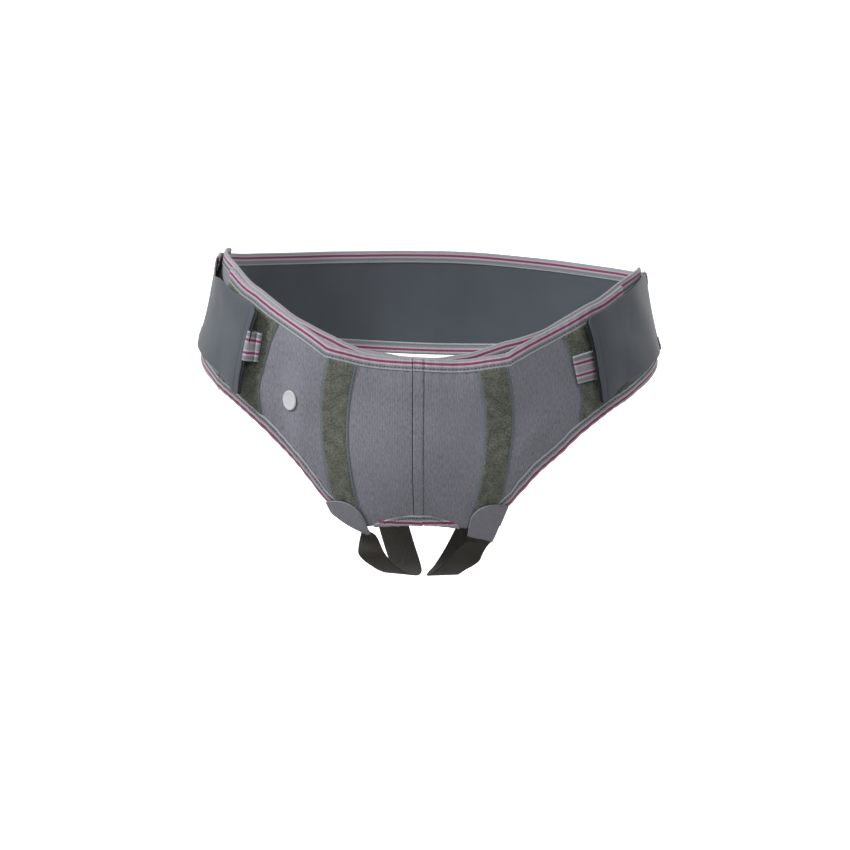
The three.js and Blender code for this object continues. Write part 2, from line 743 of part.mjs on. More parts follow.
for (const side of sides) {
  const { name, way } = side;
  const tab = sheet(tabRows.length, tabColumns.length, (i, j, face) => {
    const share = clamp(tabRows[i] / tabCornerLength, 0, 1);
    const reach = mix(0.12, 1, Math.sqrt(1 - (1 - share) * (1 - share)));
    return tabPoint(side, tabRows[i], (0.5 - (0.5 - tabColumns[j]) * reach) * strapWidth, face);
  });
  add(`strap_tab_${name}`, tab, materials.fabric);

  const { line, facing } = strapPath(side);
  const length = line.getLength() - strapStep;
  const freePoint = (distance, across, face) => {
    const share = line.getUtoTmapping((distance + strapStep) / (length + strapStep));
    const tangent = line.getTangent(share);
    const normal = facing.getPoint(share);
    normal.addScaledVector(tangent, -normal.dot(tangent)).normalize();
    const sideways = normal.clone().cross(tangent).multiplyScalar(way);
    const centre = line.getPoint(share).addScaledVector(sideways, across);
    return centre.addScaledVector(normal, (face - 0.5) * strapThickness);
  };
  const strapRowsAt = steps(jointGap, length, strapStep);
  const strap = sheet(strapRowsAt.length, strapColumns.length, (i, j, face) => {
    const distance = strapRowsAt[i];
    const across = strapColumns[j] * strapWidth;
    const onHips = tabPoint(side, tabLength + distance, across, face);
    return freePoint(distance, across, face).lerp(onHips, fade(distance / strapBlend));
  });
  add(`leg_strap_${name}`, strap, materials.strap);
}

// Marker disc on the wearer's right, with a bevelled rim
const discSides = 24;
const discBevel = discThickness / 3;
const discRadius = discDiameter / 2;
const discProfile = [
  [0, 0],
  [discRadius, 0],
  [discRadius, discThickness - discBevel],
  [discRadius - discBevel, discThickness],
  [0, discThickness],
].map(([x, y]) => new THREE.Vector2(x, y));
const discGeometry = new THREE.LatheGeometry(discProfile, discSides);
const discSag = (discRadius * discRadius) / hipFrontDepth;
const discOff = panelOuter(-discRun, discLevel) + jointGap + discSag / 2;
const discTurn = new THREE.Quaternion().setFromUnitVectors(
  new THREE.Vector3(0, 1, 0),
  hipNormal(-discRun, discLevel),
);
discGeometry.applyQuaternion(discTurn);
discGeometry.translate(...offHip(-discRun, discLevel, discOff).toArray());
add("marker_disc", discGeometry, materials.disc);

export default belt;
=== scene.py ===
"""A hernia belt in the shape that it takes on the hips: a knitted front of two plies bound with
striped ribbon, loop strips and fields, wings and a back belt, pull loops, and two leg straps.
Lengths are in millimetres until a mesh is made. run is the length along the belt from the front
centre seam, positive to the wearer's left, z the height over the front top edge, and off the
distance from the hips."""

import math

import bpy
import numpy as np
from mathutils import Matrix, Vector


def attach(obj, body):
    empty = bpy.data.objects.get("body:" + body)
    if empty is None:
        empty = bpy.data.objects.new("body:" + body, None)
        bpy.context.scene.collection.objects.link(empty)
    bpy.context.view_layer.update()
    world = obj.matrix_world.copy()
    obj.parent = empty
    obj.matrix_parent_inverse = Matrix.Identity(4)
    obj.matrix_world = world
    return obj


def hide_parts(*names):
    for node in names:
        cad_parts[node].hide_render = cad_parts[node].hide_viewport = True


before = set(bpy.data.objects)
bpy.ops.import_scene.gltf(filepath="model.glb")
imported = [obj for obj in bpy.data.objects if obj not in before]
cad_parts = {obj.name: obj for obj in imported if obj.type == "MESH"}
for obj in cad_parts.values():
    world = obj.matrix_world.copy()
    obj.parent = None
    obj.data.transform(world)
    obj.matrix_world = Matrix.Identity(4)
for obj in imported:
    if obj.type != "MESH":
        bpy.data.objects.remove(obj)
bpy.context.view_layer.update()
MM = 0.001

# Shape of the hips that the belt sits on
HIP_HALF_WIDTH, HIP_FRONT_DEPTH, HIP_BACK_DEPTH = 199.0, 138.0, 142.0
CROTCH_DROP = 190.0
SQUARENESS = 2.3
REFERENCE_LEVEL = 0.02
HIP_LEVELS = [  # level as a share of CROTCH_DROP; width, front and back as shares of their sizes
    (-1.05, 0.72, 0.36, 0.4), (-0.9, 0.86, 0.6, 0.62), (-0.75, 0.94, 0.785, 0.8),
    (-0.5, 0.985, 0.93, 0.93), (-0.2, 1.0, 0.985, 0.99), (0.02, 1.0, 1.0, 1.0),
    (0.15, 0.97, 0.995, 0.985), (0.3, 0.936, 0.98, 0.95), (0.58, 0.885, 0.94, 0.87),
]
GROIN_DEPTH, GROIN_REACH, GROIN_CURL = 18.0, 42.0, 1.3
GROIN_RUNS = (45.0, 110.0, 230.0)

# The belt's edges
SIDE_RISE, SIDE_HEM, FRONT_DROP, ARC_RISE = 87.0, 4.0, 141.0, 3.5
TOP_LEAN = 0.024
BACK_RISE, BACK_HEM = 95.0, 2.0
CORNER_RUN, PANEL_RUN, LINING_RUN, WING_ROOT = 52.0, 190.0, 286.0, 262.0
SEAM_OFFSET = 4.7
TOP_EDGES = [  # run as a share of the quarter girth; lining and panel heights as shares of SIDE_RISE
    (0, 0.01, 0), (0.06, 0.016, 0), (0.11, 0.045, 0.004), (0.16, 0.076, 0.02), (0.21, 0.135, 0.052),
    (0.265, 0.2, 0.09), (0.29, 0.222, 0.135), (0.33, 0.262, 0.208), (0.395, 0.342, 0.315),
    (0.46, 0.456, 0.422), (0.54, 0.585, 0.555), (0.59, 0.65, 0.62), (0.72, 0.84, 0.815),
    (0.86, 0.955, 0.93), (1, 1, 0.98),
]
LEG_EDGE = [  # run as above; fall as a share of the way from the side hem to the front's foot
    (0.19, 1.0), (0.256, 0.945), (0.314, 0.86), (0.345, 0.779), (0.391, 0.66), (0.46, 0.535),
    (0.512, 0.441), (0.614, 0.303), (0.676, 0.241), (0.77, 0.166), (0.855, 0.097), (0.93, 0.048),
    (1.02, 0.01), (1.08, 0),
]
LOOP_EDGES = [  # height, and a strip's and a field's sweep, as shares
    (0, 0.33, 1.0), (0.25, 0.1, 1.0), (0.5, 0, 0.72), (0.75, 0.28, 0.42), (1, 1, 0),
]
STRIP_RUN, STRIP_SWEEP, STRIP_WIDTH = 71.0, 9.0, 25.0
FIELD_RUN, FIELD_SWEEP = 121.0, 19.0
WING_FRONT, WING_SLANT = 143.5, 13.5
WING_MARGINS = [  # reach from the front edge to the root; margins in binding widths
    (0, 0.9, 1.72), (0.2, 0.92, 1.62), (0.45, 0.9, 1.5), (0.7, 0.6, 1.35), (1, 0.4, 1.1),
]

# Plies: ribbon, cloths and the air between them
RIBBON_WIDTH = 23.0
FOLD = RIBBON_WIDTH / 2
RIBBON_THICK, RIBBON_AIR = 0.75, 0.12
LINING_INNER, LINING_THICK, PANEL_THICK = 0.4, 1.3, 1.6
LINING_OUTER = LINING_INNER + LINING_THICK
PLY_GAP = 0.4
BINDING_STACK = 1.3
PANEL_REST = LINING_OUTER + PLY_GAP
TOP_LIFT = 2 * BINDING_STACK
LOOP_THICK, WING_THICK, BACK_THICK, STRAP_THICK = 1.2, 1.8, 1.8, 1.6
BACK_OVER_LINING = LINING_OUTER + TOP_LIFT + PLY_GAP
BACK_ON_BODY = LINING_INNER + BINDING_STACK
MOUTH_LIFT, MOUTH_RUN, MOUTH_REACH, MOUTH_DEPTH = 6.0, 74.0, 48.0, 75.0
BINDING_LIFT_REACH = 32.0
STAND_OFF, STAND_OFF_REACH = 3.4, 50.0
GAPE_LIFT, GAPE_RUN, GAPE_REACH, GAPE_DEPTH = 6.0, 182.0, 52.0, 36.0
WING_FALL_RUN = PANEL_RUN + 12.5
STEEPEST = 1.8
PROBE = 0.5
DISC_RUN, DISC_LEVEL = 110.0, -37.0

# Relief of the worn cloth
FULLNESS, FULL_RUN, FULL_REACH, FULL_LEVEL, FULL_TALL = 6.5, -18.0, 82.0, -70.0, 62.0
DISC_FOLD, DISC_FOLD_REACH, DISC_FOLD_TALL = 8.5, 16.0, 38.0
LINING_SAG, SAG_RUN, SAG_REACH = 3.2, -60.0, 42.0
LEAN_AT_TOP, LEAN_BELOW, LEAN_REACH = 1.2, 1.8, 60.0
PUCKER, PUCKER_REACH = 0.22, 5.0
SEAM_FINE = np.arange(-8, 8.01, 0.45)
RIPPLE_STEP = 1.6
EVENED = 25  # columns that the thickness under a ribbon is evened out over
END_FOLD, STITCH_INSET = 0.7, 2.3
FLAT_SHARES = (1.0, 0.96, 0.9, 0.82, 0.76, 0.7, 0.5, 0.28, 0.1)

rng = np.random.default_rng(7)


def curve_through(table, column):
    """A smooth curve through one column of a table of rows, level beyond its ends."""
    x = np.array([row[0] for row in table], float)
    y = np.array([row[column] for row in table], float)
    places = np.arange(len(x))
    before, after = np.maximum(places - 1, 0), np.minimum(places + 1, len(x) - 1)
    slope = (y[after] - y[before]) / (x[after] - x[before])

    def value(at):
        t = np.clip(at, x[0], x[-1])
        i = np.clip(np.searchsorted(x, t, side="right") - 1, 0, len(x) - 2)
        width = x[i + 1] - x[i]
        u = (t - x[i]) / width
        v = 1 - u
        steered = width * u * v * (slope[i] * v - slope[i + 1] * u)
        return y[i] * (1 + 2 * u) * v * v + y[i + 1] * (3 - 2 * u) * u * u + steered

    return value


def fade(t):
    """1 at zero, easing to 0 at one and staying there."""
    u = np.clip(t, 0, 1)
    return (1 - u) * (1 - u) * (1 + 2 * u)


def bell(t):
    return np.exp(-(t**2))


def mix(a, b, share):
    return a + (b - a) * share


def unit(vectors):
    return vectors / np.linalg.norm(vectors, axis=-1, keepdims=True)


def way_along(points, power=1.0):
    """How far along a line each of its points is."""
    gaps = np.linalg.norm(np.diff(points, axis=0), axis=1)
    return np.concatenate([[0], np.cumsum(gaps**power)])


def rows_at(places, at, table):
    """The rows that a table has at new places."""
    return np.stack([np.interp(places, at, column) for column in table.T], -1)


width_share, front_share, back_share = (curve_through(HIP_LEVELS, c) for c in (1, 2, 3))
lining_share, panel_share = (curve_through(TOP_EDGES, c) for c in (1, 2))
leg_fall = curve_through(LEG_EDGE, 1)
strip_sweep, field_sweep = (curve_through(LOOP_EDGES, c) for c in (1, 2))
wing_below, wing_above = (curve_through(WING_MARGINS, c) for c in (1, 2))


def hip_radius(angle, level):
    half = HIP_HALF_WIDTH * width_share(level)
    ahead = np.cos(angle) > 0
    deep = np.where(ahead, HIP_FRONT_DEPTH * front_share(level), HIP_BACK_DEPTH * back_share(level))
    side = (np.abs(np.sin(angle)) / half) ** SQUARENESS
    depth = (np.abs(np.cos(angle)) / deep) ** SQUARENESS
    return (side + depth) ** (-1 / SQUARENESS)


ANGLES = np.linspace(0, math.pi, 721)
radii = hip_radius(ANGLES, REFERENCE_LEVEL)
outline = np.stack([radii * np.sin(ANGLES), -radii * np.cos(ANGLES)], 1)
GIRTH = way_along(outline)
QUARTER, HALF = GIRTH[360], GIRTH[-1]


def wrap(run):
    """run, with a length past the middle of the back counted from the other side."""
    return np.where(run > HALF, run - 2 * HALF, run)


def angle_of(run):
    return np.sign(run) * np.interp(np.abs(run), GIRTH, ANGLES)


def lean(run):
    """The belt sits a little higher on the wearer's right."""
    return -TOP_LEAN * HIP_HALF_WIDTH * np.sin(np.clip(run / QUARTER, -1, 1) * math.pi / 2)


def lining_top(run):
    sags = LINING_SAG * fade(np.abs(run - SAG_RUN) / SAG_REACH)
    return SIDE_RISE * lining_share(np.abs(run) / QUARTER) + lean(run) - sags


def panel_top(run):
    return SIDE_RISE * panel_share(np.abs(run) / QUARTER) + lean(run)


def leg_hem(run):
    return SIDE_HEM - (SIDE_HEM + FRONT_DROP) * leg_fall(np.abs(run) / QUARTER)


def arc_hem(run):
    share = np.minimum(np.abs(run) / CORNER_RUN, 1)
    return ARC_RISE * (1 - share * share) - FRONT_DROP


def front_hem(run):
    return np.where(np.abs(run) < CORNER_RUN, arc_hem(run), leg_hem(run))


def wing_reach(run):
    return np.clip((np.abs(run) - WING_FRONT) / (WING_ROOT - WING_FRONT), 0, 1)


def wing_top(run):
    return lining_top(run) - FOLD * wing_below(wing_reach(run))


def wing_bottom(run):
    return leg_hem(run) + FOLD * wing_above(wing_reach(run))


def toward_back(run):
    return fade((HALF - np.abs(run)) / (HALF - WING_ROOT))


def back_top(run):
    run = wrap(run)
    return mix(wing_top(np.sign(run) * WING_ROOT), BACK_RISE, toward_back(run))


def back_bottom(run):
    return mix(wing_bottom(WING_ROOT), BACK_HEM, toward_back(wrap(run)))


def groin_pull(run, z):
    """How far the groin draws the cloth in near the leg edge."""
    length = np.abs(run)
    start, full, end = GROIN_RUNS
    pull = fade((full - length) / (full - start)) * fade((length - full) / (end - full))
    near = np.clip(1 - (z - leg_hem(run)) / GROIN_REACH, 0, GROIN_CURL)
    return GROIN_DEPTH * pull * near * near


def hip_point(run, z):
    run = wrap(run)
    angle = angle_of(run)
    radius = hip_radius(angle, z / CROTCH_DROP)
    y = groin_pull(run, z) - radius * np.cos(angle)
    return np.stack(np.broadcast_arrays(radius * np.sin(angle), y, z), -1)


def hip_normal(run, z):
    along = hip_point(run + PROBE, z) - hip_point(run - PROBE, z)
    up = hip_point(run, z + PROBE) - hip_point(run, z - PROBE)
    return unit(np.cross(along, up))


def ripples(run, z, height, along, up, phase, tall, shift):
    """Waves that run slantwise and come and go up the cloth."""
    return height * np.sin(run / along + z / up + phase) * np.sin(z / tall + shift)


def drape(run, z):
    """Soft hollows and ridges that worn cloth has, the same for every ply: the fullness of the
    front, slow waves, and a fold beside the marker disc that turns it to the side."""
    level = bell((z - FULL_LEVEL) / FULL_TALL)
    fullness = FULLNESS * fade(np.abs(run - FULL_RUN) / FULL_REACH) * level
    slow = ripples(run, z, 0.5, 27, 61, 0.4, 33, 1.3)
    folds = ripples(run, z, 0.3, 11.5, -41, 0.7, 23, 0.6)
    from_disc = (run + DISC_RUN) / DISC_FOLD_REACH
    above_disc = (z - DISC_LEVEL) / DISC_FOLD_TALL
    beside_disc = DISC_FOLD * from_disc * np.exp(-(from_disc**2) - above_disc**2)
    return fullness + slow + folds + beside_disc


def sway(run, z):
    """How far the centre seam leans to the wearer's left."""
    return (LEAN_AT_TOP - LEAN_BELOW * z / FRONT_DROP) * fade(np.abs(run) / LEAN_REACH)


def off_hip(run, z, off):
    run, z, off = np.broadcast_arrays(
        np.asarray(run, float), np.asarray(z, float), np.asarray(off, float)
    )
    lifted = off + drape(wrap(run), z)
    run = run + sway(run, z)
    return hip_point(run, z) + hip_normal(run, z) * lifted[..., None]


def steepness(edge, run):
    """Height that a distance into the cloth takes up where an edge slopes."""
    slope = (edge(run + PROBE) - edge(run - PROBE)) / (2 * PROBE)
    return np.minimum(np.hypot(slope, 1), STEEPEST)


def panel_inner(run, z):
    drop = panel_top(run) - z
    mouth = fade(np.abs(np.abs(run) - MOUTH_RUN) / MOUTH_REACH)
    opened = MOUTH_LIFT * mouth * fade(drop / MOUTH_DEPTH)
    return PANEL_REST + TOP_LIFT * fade((drop - FOLD) / BINDING_LIFT_REACH) + opened


def seam_ridge(run):
    """The flat-felled centre seam: a doubled band between two pulled-in stitch lines."""
    past_seam = np.abs(run) - SEAM_OFFSET
    return 0.45 * fade((past_seam + 0.9) / 0.9) - 0.4 * bell(past_seam / 0.55)


def pucker(run, z):
    """Small ripples that the stitching draws up beside the bindings."""
    from_top = (panel_top(run) - z) / steepness(panel_top, run) - FOLD
    from_hem = (z - front_hem(run)) / steepness(leg_hem, run) - FOLD
    near = np.exp(-np.maximum(np.minimum(from_top, from_hem), 0) / PUCKER_REACH)
    return PUCKER * near * np.sin(run / 1.35 + 1.7 * np.sin(run / 9.0))


def panel_outer(run, z):
    return panel_inner(run, z) + PANEL_THICK + seam_ridge(run) + pucker(run, z)


def loop_outer(run, z):
    return panel_inner(run, z) + PANEL_THICK + PLY_GAP + LOOP_THICK


def level_face(off):
    """A face at one distance from the hips."""
    return lambda run, z: np.full(np.broadcast(run, z).shape, off)


lining_inner, lining_outer = level_face(LINING_INNER), level_face(LINING_OUTER)


def wing_inner(run, z):
    length = np.abs(run)
    over = loop_outer(np.sign(run) * np.minimum(length, PANEL_RUN), z) + 2 * PLY_GAP
    behind = fade((length - WING_FALL_RUN) / (WING_ROOT - WING_FALL_RUN))
    stand = STAND_OFF * fade((length - WING_FRONT) / STAND_OFF_REACH)
    gapes = np.where(run < 0, GAPE_LIFT * fade(np.abs(length - GAPE_RUN) / GAPE_REACH), 0)
    gapes = gapes * fade((wing_top(run) - z) / GAPE_DEPTH)
    return mix(BACK_OVER_LINING, over, behind) + stand + gapes


def back_inner(run):
    past = (np.abs(wrap(run)) - LINING_RUN - PLY_GAP) / MOUTH_REACH
    return mix(BACK_ON_BODY, BACK_OVER_LINING, fade(past))


# Materials
def linear(hex_colour):
    """An sRGB hex colour as linear RGBA."""
    values = [int(hex_colour[i : i + 2], 16) / 255 for i in (1, 3, 5)]
    return [v / 12.92 if v <= 0.04045 else ((v + 0.055) / 1.055) ** 2.4 for v in values] + [1.0]


def add_node(beside, kind, inputs=None, **settings):
    """One node in a tree or beside a socket, its inputs set to values or linked from sockets."""
    tree = beside.id_data
    made = tree.nodes.new(kind)
    for key, value in settings.items():
        setattr(made, key, value)
    for key, value in (inputs or {}).items():
        if isinstance(value, bpy.types.NodeSocket):
            tree.links.new(value, made.inputs[key])
        else:
            made.inputs[key].default_value = value
    return made


def new_material(name):
    material = bpy.data.materials.new(name)
    material.use_nodes = True
    material.node_tree.nodes.clear()
    return material, material.node_tree


def new_cloth(name):
    """A new material, and the cloth's own millimetres: along, across and as one vector."""
    material, tree = new_material(name)
    place = add_node(tree, "ShaderNodeUVMap", uv_map="cloth").outputs["UV"]
    split = add_node(tree, "ShaderNodeSeparateXYZ", {"Vector": place})
    return material, split.outputs["X"], split.outputs["Y"], place


def reckon(operation, *values, clamp=False):
    """A sum or other reckoning of sockets and numbers."""
    beside = next(v for v in values if isinstance(v, bpy.types.NodeSocket))
    numbered = dict(enumerate(values))
    return add_node(beside, "ShaderNodeMath", numbered, operation=operation, use_clamp=clamp).outputs[0]


def weigh(value, factor, plus=0.0, clamp=False):
    return reckon("MULTIPLY_ADD", value, factor, plus, clamp=clamp)


def apart(value, middle):
    return reckon("ABSOLUTE", reckon("SUBTRACT", value, middle))


def threads(along, pitch, wobble=0.0, place=None):
    """0 to 1 across each thread of a pitch in millimetres."""
    phase = weigh(along, 2 * math.pi / pitch)
    if wobble:
        drift = add_node(place, "ShaderNodeTexNoise", {"Vector": place, "Scale": 0.11, "Detail": 2.0})
        phase = weigh(drift.outputs["Fac"], wobble, phase)
    return weigh(reckon("SINE", phase), 0.5, 0.5)


def step_up(value, start, end):
    """0 below start, rising smoothly to 1 at end."""
    inputs = {"Value": value, "From Min": start, "From Max": end}
    ranged = add_node(value, "ShaderNodeMapRange", inputs, interpolation_type="SMOOTHSTEP")
    return ranged.outputs["Result"]


def noise(place, size_mm, detail=2.0, roughness=0.5):
    """Noise with blobs of a size in millimetres, 0 to 1."""
    inputs = {"Vector": place, "Scale": 1 / size_mm, "Detail": detail, "Roughness": roughness}
    return add_node(place, "ShaderNodeTexNoise", inputs).outputs["Fac"]


def blend(share, *colours):
    """From one colour to another; each is a hex colour or a socket."""
    first, second = (linear(c) if isinstance(c, str) else c for c in colours)
    made = add_node(share, "ShaderNodeMix", {0: share, 6: first, 7: second}, data_type="RGBA")
    return made.outputs[2]


def surface(tree, inputs):
    """The surface shader with its inputs."""
    made = add_node(tree, "ShaderNodeBsdfPrincipled", inputs)
    add_node(tree, "ShaderNodeOutputMaterial", {"Surface": made.outputs["BSDF"]})


def finish(material, colour, height, depth_mm, roughness, sheen=0.0, sheen_tint="#ffffff"):
    """The surface, with a bump of a depth in millimetres."""
    tree = material.node_tree
    relief = {"Height": height, "Strength": 1.0, "Distance": depth_mm * MM}
    normal = add_node(tree, "ShaderNodeBump", relief).outputs["Normal"]
    surface(tree, {"Normal": normal, "Base Color": colour, "Roughness": roughness, "Sheen Weight": sheen,
                   "Sheen Roughness": 0.45, "Sheen Tint": linear(sheen_tint), "Specular IOR Level": 0.25})
    return material


def ribbed_knit(name, dark, light, rib_mm):
    """Warp-knitted polyester. Its upright ribs, a loop wide, and the grain of the loops give a matt,
    faintly striped grey. The real ribs are about 1 mm apart and are drawn wider, so that they show."""
    material, along, across, place = new_cloth(name)
    ribs = threads(along, rib_mm, wobble=3.0, place=place)
    loops = threads(across, rib_mm * 0.72)
    grain = noise(place, 0.9, detail=3.0, roughness=0.65)
    patches = noise(place, 26.0)
    relief = weigh(loops, 0.4, weigh(ribs, 0.6))
    drawn_out = add_node(place, "ShaderNodeMapping", {"Vector": place, "Scale": (1.0, 0.28, 1.0)})
    streaks = noise(drawn_out.outputs["Vector"], 1.1, roughness=0.6)
    share = weigh(relief, 0.3, weigh(grain, 0.6))
    share = weigh(streaks, 1.1, reckon("SUBTRACT", share, 0.55))
    share = weigh(patches, 0.2, reckon("SUBTRACT", share, 0.07), clamp=True)
    height = weigh(streaks, 0.9, relief)
    return finish(material, blend(share, dark, light), height, 0.22, 0.92, sheen=0.1)


def grosgrain_ribbon(name):
    """Woven polyester ribbon. Cross ribs give it a fine ladder and a slight silk, and two magenta
    warp stripes run along it, with a paler woven edge on each side."""
    stripe_place, stripe_edge, margin_edge = 4.9, (0.85, 1.2), (1.9, 2.7)
    band_edge, woven_edge = (7.4, 8.2), (10.3, 10.7)
    material, along, across, place = new_cloth(name)
    ribs = threads(along, 1.3)
    grain = noise(place, 0.7)
    from_middle = apart(across, FOLD)
    off_stripe = apart(from_middle, stripe_place)
    stripe = reckon("SUBTRACT", 1.0, step_up(off_stripe, *stripe_edge))
    margin = reckon("SUBTRACT", 1.0, step_up(off_stripe, *margin_edge))
    share = weigh(ribs, 0.45, weigh(grain, 0.5), clamp=True)
    grey = blend(share, "#75757b", "#9a9aa0")
    for strip, amount, tint in (
        (margin, 0.6, "#bdb1ba"),
        (step_up(from_middle, *band_edge), 0.5, "#62676c"),
        (step_up(from_middle, *woven_edge), 0.75, "#a3acaf"),
    ):
        grey = blend(weigh(strip, amount), grey, tint)
    colour = blend(stripe, grey, blend(share, "#682a4a", "#904769"))
    return finish(material, colour, weigh(grain, 0.3, ribs), 0.12, 0.7, sheen=0.08)


def loop_pile(name, middle, reach):
    """Napped loop tape. Its tangle of fine nylon loops scatters light, so it looks dull and mottled,
    between woven edges a couple of millimetres wide."""
    material, along, across, place = new_cloth(name)
    tangle = noise(place, 1.5, detail=4.0, roughness=0.7)
    fine = noise(place, 0.55, roughness=0.8)
    wide = noise(place, 9.0)
    selvedge = step_up(apart(along, middle), reach - 0.3, reach + 0.3)
    share = weigh(fine, 0.5, weigh(tangle, 0.95))
    share = weigh(wide, 0.35, reckon("SUBTRACT", share, 0.47))
    share = step_up(share, 0.12, 0.82)
    weave = blend(threads(across, 1.2), "#4d5659", "#6b7678")
    colour = blend(selvedge, blend(share, "#31352e", "#81867a"), weave)
    rough = weigh(share, reckon("SUBTRACT", 1.0, selvedge))
    return finish(material, colour, rough, 0.55, 0.97, sheen=0.2, sheen_tint="#b9bca8")


def close_weave(name, dark, light, sheen):
    """Close-woven nylon laminated to foam. The threads are too fine to see, so it looks smooth, with
    a soft gloss and faint bowed creases."""
    material, along, across, place = new_cloth(name)
    weave = weigh(threads(across, 1.1), threads(along, 1.1))
    grain = noise(place, 0.8)
    clouds = noise(place, 34.0)
    share = weigh(clouds, 0.35, weigh(grain, 0.4))
    share = weigh(weave, 0.3, share, clamp=True)
    height = weigh(weave, 0.4, grain)
    return finish(material, blend(share, dark, light), height, 0.08, 0.62, sheen=sheen)


def woven_elastic(name):
    """Woven elastic webbing. Rubber cores make cords along it, about 1.5 mm apart, in a dark olive
    brown that goes nearly black in the shade."""
    material, along, across, place = new_cloth(name)
    cords = threads(across, 1.6)
    picks = threads(along, 1.1)
    grain = noise(place, 0.7)
    share = weigh(picks, 0.35, weigh(cords, 0.4))
    share = weigh(grain, 0.4, share, clamp=True)
    colour = blend(share, "#1a1815", "#403c35")
    return finish(material, colour, weigh(picks, 0.4, cords), 0.25, 0.8)


def sewing_thread(name, colour):
    """Spun polyester thread, dull, with its twist just showing."""
    material, along, across, _ = new_cloth(name)
    twist = threads(reckon("ADD", along, across), 0.5)
    return finish(material, linear(colour), twist, 0.05, 0.8)


def moulded_plastic(name):
    """Injection-moulded white plastic, satin, with faint clouding."""
    material, *_, place = new_cloth(name)
    clouds = noise(place, 4.0)
    return finish(material, blend(clouds, "#b0b0b4", "#c0c0c3"), clouds, 0.02, 0.38)


FIELD_MIDDLE, FIELD_REACH = 500.0, 499.1  # one woven edge
panel_knit = ribbed_knit("ribbed_warp_knit", "#57575f", "#8e8e98", 1.35)
lining_knit = ribbed_knit("brushed_warp_knit", "#6a6a70", "#96969d", 1.6)
tab_knit = ribbed_knit("close_warp_knit", "#67676e", "#84848d", 1.3)
ribbon = grosgrain_ribbon("striped_grosgrain_ribbon")
strip_pile = loop_pile("napped_loop_tape", STRIP_WIDTH / 2, STRIP_WIDTH / 2 - 1.9)
field_pile = loop_pile("napped_loop_cloth", FIELD_MIDDLE, FIELD_REACH)
slate_cloth = close_weave("laminated_nylon_weave", "#3c4147", "#545a61", 0.12)
# Near-black: the strip of hook patch that shows in front of each wing is painted shade.
hook_tape = close_weave("moulded_hook_tape", "#151618", "#26282b", 0.0)
elastic = woven_elastic("woven_elastic_webbing")
dark_thread = sewing_thread("spun_polyester_thread", "#2c2d33")
grey_thread = sewing_thread("grey_polyester_thread", "#46474d")
white_plastic = moulded_plastic("moulded_white_plastic")


# Meshes
def put(name, data):
    made = bpy.data.objects.new(name, data)
    bpy.context.scene.collection.objects.link(made)
    return made


def make_piece(name, points, faces, flat, material, slot, *nodes):
    """One piece from points in millimetres, with the cloth's own millimetres as its UV map."""
    mesh = bpy.data.meshes.new(name)
    mesh.from_pydata((np.asarray(points) * MM).tolist(), [], faces)
    layer = mesh.uv_layers.new(name="cloth")
    corners = np.empty(len(mesh.loops), int)
    mesh.loops.foreach_get("vertex_index", corners)
    layer.data.foreach_set("uv", np.asarray(flat, np.float32)[corners].ravel())
    mesh.polygons.foreach_set("use_smooth", np.ones(len(mesh.polygons), bool))
    mesh.materials.append(material)
    mesh.update()
    piece = put(name, mesh)
    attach(piece, "root")
    if nodes:
        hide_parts(*nodes)
    return piece


def signed_volume(points, quads):
    a, b, c, d = (points[quads[:, k]] for k in range(4))
    return (a * (np.cross(b, c) + np.cross(c, d))).sum()


def cloth_piece(name, outer, inner, flat, material, slot, *nodes):
    """A closed piece of cloth between two grids of points, with a rounded rim."""
    rows, columns = outer.shape[:2]
    count = rows * columns
    place = np.arange(count).reshape(rows, columns)
    corner = place[:-1, :-1].ravel()
    quads = np.stack([corner, corner + columns, corner + columns + 1, corner + 1], 1)
    border = np.concatenate([place[0], place[1:-1, -1], place[-1, ::-1], place[-2:0:-1, 0]])
    within = place[np.clip(border // columns, 1, rows - 2), np.clip(border % columns, 1, columns - 2)]
    a, b = outer.reshape(-1, 3), inner.reshape(-1, 3)
    middle = (a[border] + b[border]) / 2
    outward = middle - (a[within] + b[within]) / 2
    outward /= np.maximum(np.linalg.norm(outward, axis=1, keepdims=True), 1e-6)
    thick = np.linalg.norm(a[border] - b[border], axis=1, keepdims=True)
    points = np.concatenate([a, b, middle + outward * thick * 0.35])
    rim = 2 * count + np.arange(len(border))
    after, rim_after = np.roll(border, -1), np.roll(rim, -1)
    outer_rim = np.stack([border, after, rim_after, rim], 1)
    inner_rim = np.stack([rim, rim_after, count + after, count + border], 1)
    faces = np.concatenate([quads, count + quads[:, ::-1], outer_rim, inner_rim])
    if signed_volume(points, faces) < 0:
        faces = faces[:, ::-1]
    uv = flat.reshape(-1, 2)
    uv = np.concatenate([uv, uv, uv[border]])
    return make_piece(name, points, faces.tolist(), uv, material, slot, *nodes)


def worn_cloth(name, run, z, outer, inner, flat, material, slot, *nodes):
    """A cloth between two distances from the hips."""
    return cloth_piece(name, off_hip(run, z, outer), off_hip(run, z, inner), flat, material, slot, *nodes)


def spaced(start, end, step, fine=()):
    """Lengths from start to end, with extra ones where the cloth has fine relief."""
    count = int(abs(end - start) / step) + 2
    low, high = min(start, end), max(start, end)
    extra = [v for v in fine if low < v < high]
    merged = np.unique(np.round(np.concatenate([np.linspace(start, end, count), extra]), 3))
    keep = np.concatenate([[True], np.diff(merged) > 0.2])
    keep[-1] = True
    return merged[keep] if start < end else merged[keep][::-1]


def worn_sheet(piece, runs, bottom, top, *under):
    """Works out the length and width that a cloth was cut to; nothing is done with them."""
    tall = top(runs) - bottom(runs)
    length, width = float(np.ptp(runs)) * MM, float(top(runs).max() - bottom(runs).min()) * MM


